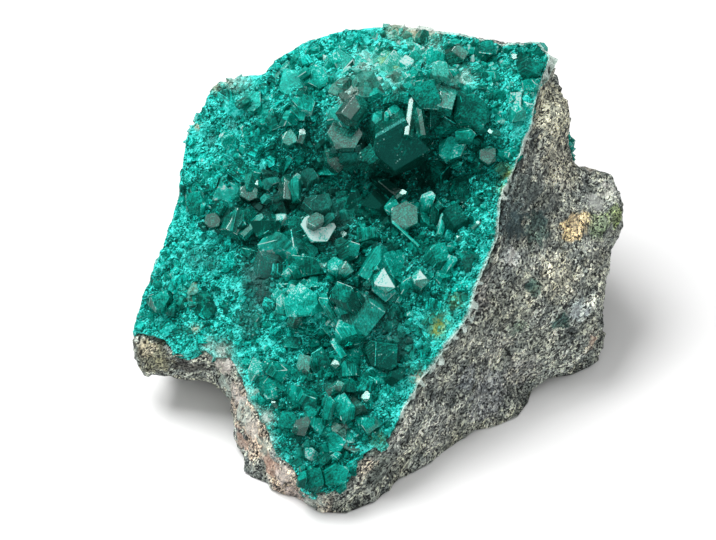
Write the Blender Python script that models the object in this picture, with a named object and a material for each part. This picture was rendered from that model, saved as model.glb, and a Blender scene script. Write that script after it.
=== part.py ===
"""A dioptase specimen: a broken lump of granular host rock with one face grown over by a crust of
dioptase crystals, and a small patch of the same mineral on its back.

Numbers are millimetres and degrees unless a name says otherwise; MM turns them into Blender's metres.
The crystal-covered face has its own frame: u runs to its right, v up its slope and w out of it.
"""

import math
import random

import bmesh
import bpy
from mathutils import Matrix, Vector, noise
from mathutils.bvhtree import BVHTree

MM = 0.001
SEED = 41

# The crystal-covered face: where its middle is above the rest face, and how it is turned.
FACE_CENTRE = Vector((-4.0, -1.0, 22.0))
FACE_TURN = -16.0
FACE_TILT = 36.0
FACE_SPIN = 11.0

# The crust follows the face at this thickness, thinner along its edge, and a hairline parts it
# from the rock.
CRUST_THICKNESS = 2.2
EDGE_THICKNESS = 0.9
HAIRLINE = 0.3

# The edge of the crust in the face's plane (u, v), anticlockwise from its right side.
RIM = [
    (18.0, -2.4), (20.3, 3.4), (20.8, 9.0), (23.4, 17.4), (25.3, 23.8), (25.8, 31.8),
    (21.2, 31.0), (18.0, 33.2), (11.6, 34.6), (3.0, 35.6), (-3.4, 35.0), (-9.0, 33.4),
    (-11.2, 31.2), (-13.0, 27.8), (-19.4, 27.0), (-22.0, 23.6), (-24.2, 20.4), (-24.8, 15.4),
    (-25.2, 9.4), (-26.4, 2.6), (-29.4, -4.2), (-30.6, -10.0), (-25.2, -12.0), (-19.0, -11.4),
    (-13.8, -16.6), (-11.8, -21.0), (-10.2, -24.6), (-7.2, -29.0), (-3.2, -31.2),
    (-0.2, -30.8), (1.6, -28.0), (6.8, -23.2), (10.7, -15.2), (14.2, -11.0), (16.5, -6.4),
]

# The rock below it: outlines across the lump at growing depths under the face.
SHOULDER = [
    (22.4, 0.0), (25.0, 8.6), (27.4, 16.2), (29.0, 22.6), (26.8, 26.0), (26.2, 30.4),
    (25.4, 33.0), (18.0, 34.0), (12.0, 36.4), (3.0, 36.8), (-4.0, 35.0), (-9.6, 33.0),
    (-13.4, 28.4), (-19.8, 27.4), (-24.6, 20.6), (-25.0, 15.6), (-25.2, 9.4), (-26.0, 2.6),
    (-29.2, -4.6), (-31.4, -11.0), (-30.8, -15.0), (-27.0, -15.2), (-24.4, -12.4),
    (-20.0, -14.4), (-17.8, -17.6), (-16.0, -23.8), (-13.6, -28.0), (-11.4, -30.6),
    (-8.6, -33.0), (-3.0, -34.6), (1.4, -34.6), (4.4, -29.4), (8.0, -25.4), (11.2, -21.2),
    (12.6, -16.8), (16.2, -11.6), (19.6, -7.6),
]
WAIST = [
    (33.6, -1.0), (33.4, 3.6), (35.2, 8.4), (36.2, 11.0), (36.6, 14.4), (34.2, 17.6),
    (27.4, 19.0), (28.4, 25.8), (26.2, 28.6), (25.0, 32.6), (16.0, 33.2), (4.0, 32.8),
    (-8.0, 29.6), (-17.0, 23.4), (-22.0, 13.0), (-23.6, 2.0), (-26.4, -5.6), (-27.6, -9.4),
    (-22.2, -12.2), (-18.0, -15.4), (-15.0, -20.4), (-11.4, -27.0), (-3.6, -33.6),
    (4.6, -34.0), (8.8, -27.6), (12.2, -23.2), (15.0, -20.4), (18.8, -16.8), (20.6, -12.4),
    (25.2, -9.6), (32.6, -5.0),
]
BELLY = [
    (32.8, 1.6), (33.0, 6.4), (34.0, 11.0), (29.8, 17.4), (26.4, 24.4), (16.0, 27.6),
    (4.0, 26.2), (-9.0, 22.6), (-17.6, 13.6), (-20.6, 2.0), (-20.8, -8.0), (-14.0, -18.0),
    (-4.0, -26.0), (12.0, -26.0), (23.4, -20.6), (24.6, -17.2), (23.0, -13.6), (24.8, -11.2),
    (28.6, -10.8), (32.4, -9.4), (34.4, -6.6), (32.0, -2.0),
]
ROOT = [
    (26.0, -4.0), (28.0, 4.0), (24.0, 12.4), (14.0, 16.4), (0.0, 14.6), (-11.0, 9.4),
    (-15.6, 0.0), (-12.4, -9.6), (0.0, -14.0), (12.0, -12.6),
]
LEVELS = [(0.0, RIM), (5.0, SHOULDER), (15.0, WAIST), (25.0, BELLY), (37.0, ROOT)]

# Relief of the face: (u, v, spread along u, spread along v, height).
RELIEF = [
    (6.0, 22.0, 11.0, 4.6, 4.4),
    (10.0, 13.4, 8.5, 5.0, -6.2),
    (-6.6, 11.4, 9.0, 6.0, -3.6),
    (4.0, 34.0, 26.0, 5.6, -4.4),
    (-25.0, 16.0, 5.0, 12.0, -2.8),
    (-29.0, -8.0, 5.0, 7.0, -2.4),
    (0.5, -5.0, 9.0, 6.0, 2.4),
    (-3.0, -11.4, 4.0, 3.6, -2.2),
    (0.0, -19.0, 7.0, 6.0, 1.6),
    (17.6, 5.0, 3.6, 10.0, 1.4),
]

# Roughness of the broken rock: (size of a lump, height of its ridges), and the direction in which
# its grain draws them out.
BREAKS = [(10.0, 1.8), (4.4, 1.1)]
GRAIN = Vector((0.82, 0.57, 0.0))
GRAIN_STRETCH = 0.55

AROUND = 56
FACE_RINGS = 5
SIDE_RINGS = 13

# Crystals read one by one: (u, v, radius, height, lean along u, lean along v, turn).
LARGE_CRYSTALS = [
    (11.9, 23.6, 3.7, 5.6, -16, -30, 12),
    (17.0, 20.8, 3.3, 4.6, 12, -24, 40),
    (7.2, 18.6, 4.8, 7.6, -4, -44, 5),
    (-1.0, 17.6, 3.6, 5.0, -12, -20, 25),
    (2.4, 22.6, 2.2, 4.2, -22, -12, 50),
    (-1.6, 21.4, 2.2, 3.4, 10, -26, 15),
    (-5.8, 22.0, 1.9, 3.2, -8, -18, 35),
    (-7.6, 18.0, 1.8, 3.6, 6, -14, 0),
    (-12.8, 17.2, 2.6, 3.2, -20, 4, 20),
    (-7.2, 27.0, 3.1, 3.2, -30, 26, 48),
    (-14.8, 6.8, 1.9, 4.6, 34, 20, 30),
    (-12.0, 6.0, 1.6, 4.2, 36, 24, 8),
    (-5.0, 7.4, 3.5, 5.0, 4, -4, 10),
    (-7.8, 11.6, 1.7, 3.6, -12, 10, 45),
    (-2.8, 12.2, 1.9, 3.2, 18, 16, 22),
    (4.6, 12.4, 1.2, 4.2, 40, -26, 10),
    (7.4, 7.6, 3.1, 4.8, -12, 16, 33),
    (10.8, 8.0, 2.2, 4.4, 20, 14, 5),
    (7.4, 2.2, 2.8, 6.0, 30, 24, 18),
    (14.4, 6.8, 2.0, 3.8, 14, 6, 40),
    (12.4, 2.2, 1.9, 3.4, 16, -4, 55),
    (14.6, 16.4, 2.0, 3.4, -10, 14, 20),
    (-6.8, -4.6, 3.5, 3.6, -14, 6, 28),
    (-1.0, -3.6, 3.0, 4.4, 20, 12, 50),
    (4.4, -2.4, 2.4, 4.2, 4, 22, 2),
    (9.6, -1.6, 1.9, 3.4, 20, 18, 36),
    (1.2, -8.0, 3.5, 4.2, 18, -14, 14),
    (-4.6, -11.8, 2.7, 4.2, -22, 10, 46),
    (5.0, -12.6, 3.0, 3.2, 16, -6, 8),
    (-0.8, -18.8, 2.3, 3.4, -6, 10, 24),
    (2.4, -18.2, 1.2, 3.4, 8, 4, 50),
    (-5.2, -20.4, 1.6, 3.4, -10, -10, 12),
    (-9.0, -21.4, 1.9, 2.8, -22, -2, 40),
    (-2.2, -24.6, 1.9, 3.0, 6, -16, 30),
    (-5.6, -26.4, 1.6, 3.0, -8, -20, 10),
    (-4.2, -29.4, 1.9, 2.6, -12, -34, 5),
    (-1.2, -29.0, 2.0, 2.6, 10, -34, 35),
    (-9.8, -16.8, 1.7, 3.0, -14, 2, 18),
    (-12.6, -15.2, 1.8, 2.6, -26, -4, 52),
    (-25.8, -5.0, 2.9, 2.8, -30, -2, 26),
    (-21.8, 9.4, 2.0, 3.2, -38, 6, 12),
    (-18.8, 5.8, 1.7, 2.8, -10, 4, 44),
    (-13.4, 9.8, 2.1, 3.2, 8, 14, 33),
    (15.0, 29.4, 1.9, 2.8, 4, 20, 20),
    (18.4, 29.6, 1.9, 3.2, 12, 22, 6),
    (24.2, 28.4, 2.4, 3.4, 16, 14, 38),
    (22.2, 21.8, 2.2, 2.8, 16, -10, 48),
    (18.8, 14.4, 1.5, 2.8, 4, -6, 22),
    (24.0, 24.6, 1.3, 2.4, 10, 6, 15),
    (14.0, 26.6, 1.5, 3.0, -6, 14, 55),
    (-6.2, 0.8, 2.8, 3.0, 12, 10, 31),
    (-11.6, 0.4, 2.6, 2.6, -16, 8, 4),
    (0.4, -13.2, 2.4, 3.2, 6, -14, 42),
    (-9.6, -9.4, 2.7, 2.8, -12, -8, 16),
    (-2.6, 30.6, 3.0, 2.2, -10, 26, 20),
    (4.6, 29.6, 3.2, 2.0, 6, 22, 50),
    (10.2, 30.6, 2.8, 2.2, -4, 24, 8),
]

# Crystals between them: bands of (how many to try, least and most radius, least spacing).
SMALL_BANDS = [(1200, 2.1, 3.0, 1.25), (420, 1.4, 1.9, 1.25)]
SMALL_HEIGHTS = (0.55, 1.35)
SMALL_LEAN = 24.0
EDGE_MARGIN = 0.4

# Dioptase ends in three rhombs, each over one edge of its six-sided prism.
RHOMB_DROP = 0.617
ROOT_DEPTH = 1.9

# The small patch of crystals on the back: where it is, round and up the rock, and its size.
BACK_PATCH_FROM = Vector((36.4, 36.0, 27.0))
BACK_PATCH_TO = Vector((3.8, 6.0, 12.0))
BACK_PATCH_RADIUS = 5.0
BACK_PATCH_COUNT = 10


def face_frame():
    """Turns (u, v, w) of the crystal-covered face into the part's own millimetres."""
    turned = (
        Matrix.Rotation(math.radians(FACE_TURN), 4, "Z")
        @ Matrix.Rotation(math.radians(FACE_TILT), 4, "X")
        @ Matrix.Rotation(math.radians(FACE_SPIN), 4, "Z")
    )
    return Matrix.Translation(FACE_CENTRE) @ turned


FACE = face_frame()


def reach(outline, angle):
    """How far an outline lies from the middle of the face in this direction."""
    direction = Vector((math.cos(angle), math.sin(angle)))
    found = 0.0
    for first, second in zip(outline, outline[1:] + outline[:1]):
        a, side = Vector(first), Vector(second) - Vector(first)
        across = direction.x * side.y - direction.y * side.x
        if abs(across) < 1e-9:
            continue
        distance = (a.x * side.y - a.y * side.x) / across
        along = (a.x * direction.y - a.y * direction.x) / across
        if distance > 0 and 0 <= along <= 1:
            found = max(found, distance)
    return found


def side_reach(depth, angle):
    """How far the rock's side lies from the axis of the face at a depth below it."""
    for (high, upper), (low, lower) in zip(LEVELS, LEVELS[1:]):
        if depth <= low:
            share = (depth - high) / (low - high)
            return reach(upper, angle) * (1 - share) + reach(lower, angle) * share
    return reach(LEVELS[-1][1], angle)


def relief(u, v):
    """Height of the druse's ground over the plane of the face."""
    return sum(
        height * math.exp(-(((u - cu) / su) ** 2) - ((v - cv) / sv) ** 2)
        for cu, cv, su, sv, height in RELIEF
    )


def breaks(point):
    """Ridges and hollows of the broken rock at a point."""
    drawn = point - GRAIN * point.dot(GRAIN) * GRAIN_STRETCH
    return sum(height * (0.4 - 2 * abs(noise.noise(drawn / size))) for size, height in BREAKS)


def side_point(angle, step):
    """A point of the lump's side, in the face's frame: step 0 is the rim of the crust."""
    share = step / SIDE_RINGS
    depth = LEVELS[-1][0] * share
    outward = Vector((math.cos(angle), math.sin(angle), 0.0))
    lip = relief(*(outward * reach(RIM, angle)).xy)
    place = outward * side_reach(depth, angle)
    place.z = lip * (1 - share) - depth
    return place + outward * breaks(place) * min(1.0, step)


def lump_point(angle, ring, drop):
    """A point of the lump in the face's frame. Rings run from the middle of the face over the rim
    and down the side; drop is how far the face lies under the top of the crust."""
    if ring > FACE_RINGS:
        return side_point(angle, ring - FACE_RINGS)
    if ring == FACE_RINGS:
        rim, below = side_point(angle, 0), side_point(angle, 1)
        return rim.lerp(below, min(drop, EDGE_THICKNESS) / (rim.z - below.z))
    distance = reach(RIM, angle) * ring / FACE_RINGS
    u, v = distance * math.cos(angle), distance * math.sin(angle)
    return Vector((u, v, relief(u, v) - drop))


def lump(drop, swell=0.0):
    """The whole lump as a closed bmesh in the part's millimetres, standing on a flat rest face."""
    bm = bmesh.new()
    rings = FACE_RINGS + SIDE_RINGS + 1
    bmesh.ops.create_uvsphere(bm, u_segments=AROUND, v_segments=rings, radius=1.0)
    for vertex in bm.verts:
        angle = math.atan2(vertex.co.y, vertex.co.x)
        ring = round(math.acos(max(-1.0, min(1.0, vertex.co.z))) / math.pi * rings)
        if ring == rings:
            vertex.co = Vector((0.0, 0.0, -LEVELS[-1][0]))
        else:
            vertex.co = lump_point(angle, ring, drop)
    bm.transform(FACE)
    bmesh.ops.triangulate(bm, faces=bm.faces, quad_method="FIXED")
    bmesh.ops.recalc_face_normals(bm, faces=bm.faces)
    if swell:
        bm.normal_update()
        for vertex, normal in [(v, v.normal.copy()) for v in bm.verts]:
            vertex.co += normal * swell
    cut = bmesh.ops.bisect_plane(
        bm,
        geom=bm.verts[:] + bm.edges[:] + bm.faces[:],
        dist=1e-6,
        plane_co=(0, 0, -swell),
        plane_no=(0, 0, -1),
        clear_outer=True,
    )
    edges = [e for e in cut["geom_cut"] if isinstance(e, bmesh.types.BMEdge)]
    bmesh.ops.contextual_create(bm, geom=edges)
    bmesh.ops.recalc_face_normals(bm, faces=bm.faces)
    return bm


def add_crystal(bm, radius, height, where):
    """One dioptase crystal, its foot at the origin of `where` and its axis along that frame's z."""
    made = bmesh.ops.create_cone(
        bm,
        cap_ends=True,
        segments=6,
        radius1=radius,
        radius2=radius,
        depth=1.0,
    )
    verts = made["verts"]
    top = [v for v in verts if v.co.z > 0]
    lid = next(f for f in top[0].link_faces if all(v in top for v in f.verts))
    apex = bmesh.ops.poke(bm, faces=[lid])["verts"][0]
    drop = RHOMB_DROP * radius
    for vertex in verts:
        if vertex.co.z < 0:
            vertex.co.z = 0.0
            continue
        corner = round(math.degrees(math.atan2(vertex.co.y, vertex.co.x)) / 60)
        vertex.co.z = height - drop * (1 + corner % 2)
    apex.co.z = height
    bmesh.ops.transform(bm, matrix=where, verts=verts + [apex])


def lean_frame(foot, normal, lean_u, lean_v, turn):
    """A frame standing on the druse at `foot`, leaning from the ground's own normal."""
    leaning = (
        Matrix.Rotation(math.radians(lean_u), 4, "Y")
        @ Matrix.Rotation(-math.radians(lean_v), 4, "X")
        @ Vector(normal)
    )
    upright = leaning.to_track_quat("Z", "Y").to_matrix().to_4x4()
    spun = Matrix.Rotation(math.radians(turn), 4, "Z")
    return Matrix.Translation(foot) @ upright @ spun


def ground_normal(u, v):
    """Direction out of the druse's ground, in the face's frame."""
    step = 0.5
    rise_u = (relief(u + step, v) - relief(u - step, v)) / (2 * step)
    rise_v = (relief(u, v + step) - relief(u, v - step)) / (2 * step)
    return Vector((-rise_u, -rise_v, 1.0)).normalized()


def stand_on_face(bm, u, v, radius, height, lean_u, lean_v, turn):
    """A crystal rooted in the crust at (u, v), as high as its height over the druse's ground."""
    ground = Vector((u, v, relief(u, v)))
    where = lean_frame(ground, ground_normal(u, v), lean_u, lean_v, turn)
    rooted = FACE @ where @ Matrix.Translation((0, 0, -ROOT_DEPTH))
    add_crystal(bm, radius, height + ROOT_DEPTH, rooted)


def crust_crystals():
    """All crystals of the crust as overlapping closed shapes in one bmesh."""
    bm = bmesh.new()
    taken = []
    for crystal in LARGE_CRYSTALS:
        stand_on_face(bm, *crystal)
        taken.append((crystal[0], crystal[1], crystal[2]))
    chance = random.Random(SEED)
    for tries, least, most, spacing in SMALL_BANDS:
        for _ in range(tries):
            angle = chance.uniform(0, 2 * math.pi)
            edge = reach(RIM, angle)
            distance = edge * math.sqrt(chance.random())
            radius = chance.uniform(least, most)
            leans = [chance.gauss(0, SMALL_LEAN) for _ in "uv"]
            turn = chance.uniform(0, 60)
            height = radius * chance.uniform(*SMALL_HEIGHTS)
            if distance > edge - EDGE_MARGIN - radius:
                distance = edge - EDGE_MARGIN - radius
            u, v = distance * math.cos(angle), distance * math.sin(angle)
            if any(
                math.hypot(u - tu, v - tv) < max(spacing * radius, 0.7 * tr + 0.6 * radius)
                for tu, tv, tr in taken
            ):
                continue
            stand_on_face(bm, u, v, radius, height, *leans, turn)
            taken.append((u, v, radius))
    return bm


def back_patch_crystals(rock):
    """The crystals of the patch on the back, rooted round one spot of the rock's surface."""
    bm = bmesh.new()
    tree = BVHTree.FromBMesh(rock)
    aim = (BACK_PATCH_TO - BACK_PATCH_FROM).normalized()
    side = aim.orthogonal().normalized()
    other = aim.cross(side)
    chance = random.Random(SEED)
    golden = math.pi * (3 - math.sqrt(5))
    for index in range(BACK_PATCH_COUNT):
        share = math.sqrt((index + 0.3) / BACK_PATCH_COUNT)
        angle = index * golden
        offset = (side * math.cos(angle) + other * 0.7 * math.sin(angle)) * share
        start = BACK_PATCH_FROM + offset * BACK_PATCH_RADIUS
        foot, normal, _, _ = tree.ray_cast(start, aim)
        radius = 1.9 - 0.9 * share
        leans = [chance.gauss(0, SMALL_LEAN) for _ in "uv"]
        where = lean_frame(foot, normal, *leans, chance.uniform(0, 60))
        rooted = where @ Matrix.Translation((0, 0, -radius))
        add_crystal(bm, radius, radius * 2.1, rooted)
    return bm


def material(name, colour, roughness):
    """A plain surface with the colour and gloss of its mineral."""
    made = bpy.data.materials.new(name)
    made.use_nodes = True
    shader = made.node_tree.nodes["Principled BSDF"]
    shader.inputs["Base Color"].default_value = (*colour, 1.0)
    shader.inputs["Roughness"].default_value = roughness
    return made


def to_object(bm, name, finish=None):
    """The bmesh as a named object in the scene, in metres."""
    bm.transform(Matrix.Scale(MM, 4))
    mesh = bpy.data.meshes.new(name)
    bm.to_mesh(mesh)
    bm.free()
    obj = bpy.data.objects.new(name, mesh)
    bpy.context.scene.collection.objects.link(obj)
    if finish:
        mesh.materials.append(finish)
    return obj


def helper(bm, name):
    """A shape that only cuts or joins another."""
    obj = to_object(bm, name)
    obj.hide_render = True
    obj.display_type = "WIRE"
    return obj


def combine(obj, other, operation, overlapping=False):
    """Joins `other` to the object, or cuts it away."""
    step = obj.modifiers.new(other.name, "BOOLEAN")
    step.operation = operation
    step.object = other
    step.use_self = overlapping


def settle(obj):
    """Applies the object's modifiers and keeps its largest shell, so that no pocket between
    crystals stays sealed inside it."""
    graph = bpy.context.evaluated_depsgraph_get()
    mesh = bpy.data.meshes.new_from_object(obj.evaluated_get(graph))
    obj.modifiers.clear()
    obj.data = mesh
    bm = bmesh.new()
    bm.from_mesh(mesh)
    shells, unseen = [], set(bm.faces)
    while unseen:
        shell = [unseen.pop()]
        for face in shell:
            beside = {f for edge in face.edges for f in edge.link_faces} & unseen
            unseen -= beside
            shell.extend(beside)
        shells.append(shell)
    largest = set(max(shells, key=len))
    bmesh.ops.delete(bm, geom=[f for f in bm.faces if f not in largest], context="FACES")
    bmesh.ops.triangulate(bm, faces=bm.faces)
    bm.to_mesh(mesh)
    bm.free()


def clear_scene():
    for obj in list(bpy.data.objects):
        bpy.data.objects.remove(obj, do_unlink=True)


def main():
    clear_scene()
    stone = material("host_rock", (0.34, 0.31, 0.27), 0.9)
    green = material("dioptase", (0.02, 0.30, 0.22), 0.2)

    rock = lump(CRUST_THICKNESS)
    patch_stock = helper(back_patch_crystals(rock), "patch_stock")
    to_object(rock, "host_rock", stone)
    swollen = helper(lump(CRUST_THICKNESS, swell=HAIRLINE), "rock_and_hairline")

    crust = to_object(lump(0.0), "dioptase_crust", green)
    stock = helper(crust_crystals(), "crystal_stock")
    combine(crust, stock, "UNION", overlapping=True)
    combine(crust, swollen, "DIFFERENCE")
    settle(crust)

    patch = to_object(bmesh.new(), "back_crystals", green)
    combine(patch, patch_stock, "UNION", overlapping=True)
    combine(patch, swollen, "DIFFERENCE")
    settle(patch)


main()
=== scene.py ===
"""The looks of a dioptase specimen: a broken lump of granular host rock, a crust of emerald
crystals and turquoise druse over its sloping face, and a small patch of crystals on its back.

Lengths are millimetres unless a comment says otherwise; MM turns them into metres. The face that
carries the crust has its own frame: u runs to its right, v up its slope and w out of it.
"""

import math
import random

import bmesh
import bpy
from mathutils import Matrix, Vector, noise
from mathutils.bvhtree import BVHTree


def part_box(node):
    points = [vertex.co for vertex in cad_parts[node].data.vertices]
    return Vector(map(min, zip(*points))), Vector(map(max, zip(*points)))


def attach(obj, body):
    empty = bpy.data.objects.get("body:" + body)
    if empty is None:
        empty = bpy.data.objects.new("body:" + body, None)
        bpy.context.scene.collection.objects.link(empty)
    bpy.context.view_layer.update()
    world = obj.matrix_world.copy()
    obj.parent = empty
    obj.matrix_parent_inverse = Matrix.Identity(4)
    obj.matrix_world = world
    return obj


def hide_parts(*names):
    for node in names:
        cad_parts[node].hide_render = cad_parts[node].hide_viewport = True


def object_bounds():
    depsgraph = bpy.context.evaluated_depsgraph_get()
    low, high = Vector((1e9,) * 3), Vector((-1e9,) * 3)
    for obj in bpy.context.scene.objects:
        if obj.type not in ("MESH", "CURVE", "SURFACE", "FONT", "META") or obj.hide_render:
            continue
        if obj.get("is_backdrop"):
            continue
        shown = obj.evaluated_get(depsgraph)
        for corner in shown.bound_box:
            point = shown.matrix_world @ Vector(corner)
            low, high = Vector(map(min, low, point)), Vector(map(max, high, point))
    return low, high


MM = 0.001
SEED = 41

# The view: its pixels, how many millimetres one shows where the camera is aimed, how many degrees
# it looks down and from how far.
VIEW_SIZE = (716, 540)
MM_PER_PIXEL = 0.135
VIEW_ELEVATION = 40.0
VIEW_DISTANCE = 300.0
SENSOR = 36.0
# The middle of the crystal-covered face, and the pixel that shows it.
FACE_CENTRE = Vector((-4.0, -1.0, 22.0))
FACE_CENTRE_PIXEL = (350, 265)

# How the crystal-covered face is turned, in degrees.
FACE_TURN = -16.0
FACE_TILT = 36.0
FACE_SPIN = 11.0

# Relief of the druse's ground: (u, v, spread along u, spread along v, height).
RELIEF = [
    (6.0, 22.0, 11.0, 4.6, 4.4),
    (10.0, 13.4, 8.5, 5.0, -6.2),
    (-6.6, 11.4, 9.0, 6.0, -3.6),
    (4.0, 34.0, 26.0, 5.6, -4.4),
    (-25.0, 16.0, 5.0, 12.0, -2.8),
    (-29.0, -8.0, 5.0, 7.0, -2.4),
    (0.5, -5.0, 9.0, 6.0, 2.4),
    (-3.0, -11.4, 4.0, 3.6, -2.2),
    (0.0, -19.0, 7.0, 6.0, 1.6),
    (17.6, 5.0, 3.6, 10.0, 1.4),
]

# Large crystals that stand any way: (u, v, radius, height, lean along u, lean along v, turn).
LARGE_CRYSTALS = [
    (-9.8, -16.8, 1.7, 3.0, -14, 2, 18),
    (-12.6, -15.2, 1.8, 2.6, -26, -4, 52),
    (24.0, 24.6, 1.3, 2.4, 10, 6, 15),
    (-6.2, 0.8, 2.8, 3.0, 12, 10, 31),
    (-11.6, 0.4, 2.6, 2.6, -16, 8, 4),
    (0.4, -13.2, 2.4, 3.2, 6, -14, 42),
    (-9.6, -9.4, 2.7, 2.8, -12, -8, 16),
    (-2.6, 30.6, 3.0, 2.2, -10, 26, 20),
    (4.6, 29.6, 3.2, 2.0, 6, 22, 50),
    (10.2, 30.6, 2.8, 2.2, -4, 24, 8),
    (22.2, 21.8, 2.2, 2.8, 16, -10, 48),
    (-14.0, 12.0, 2.2, 3.0, -8, 6, 10),
]

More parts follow.
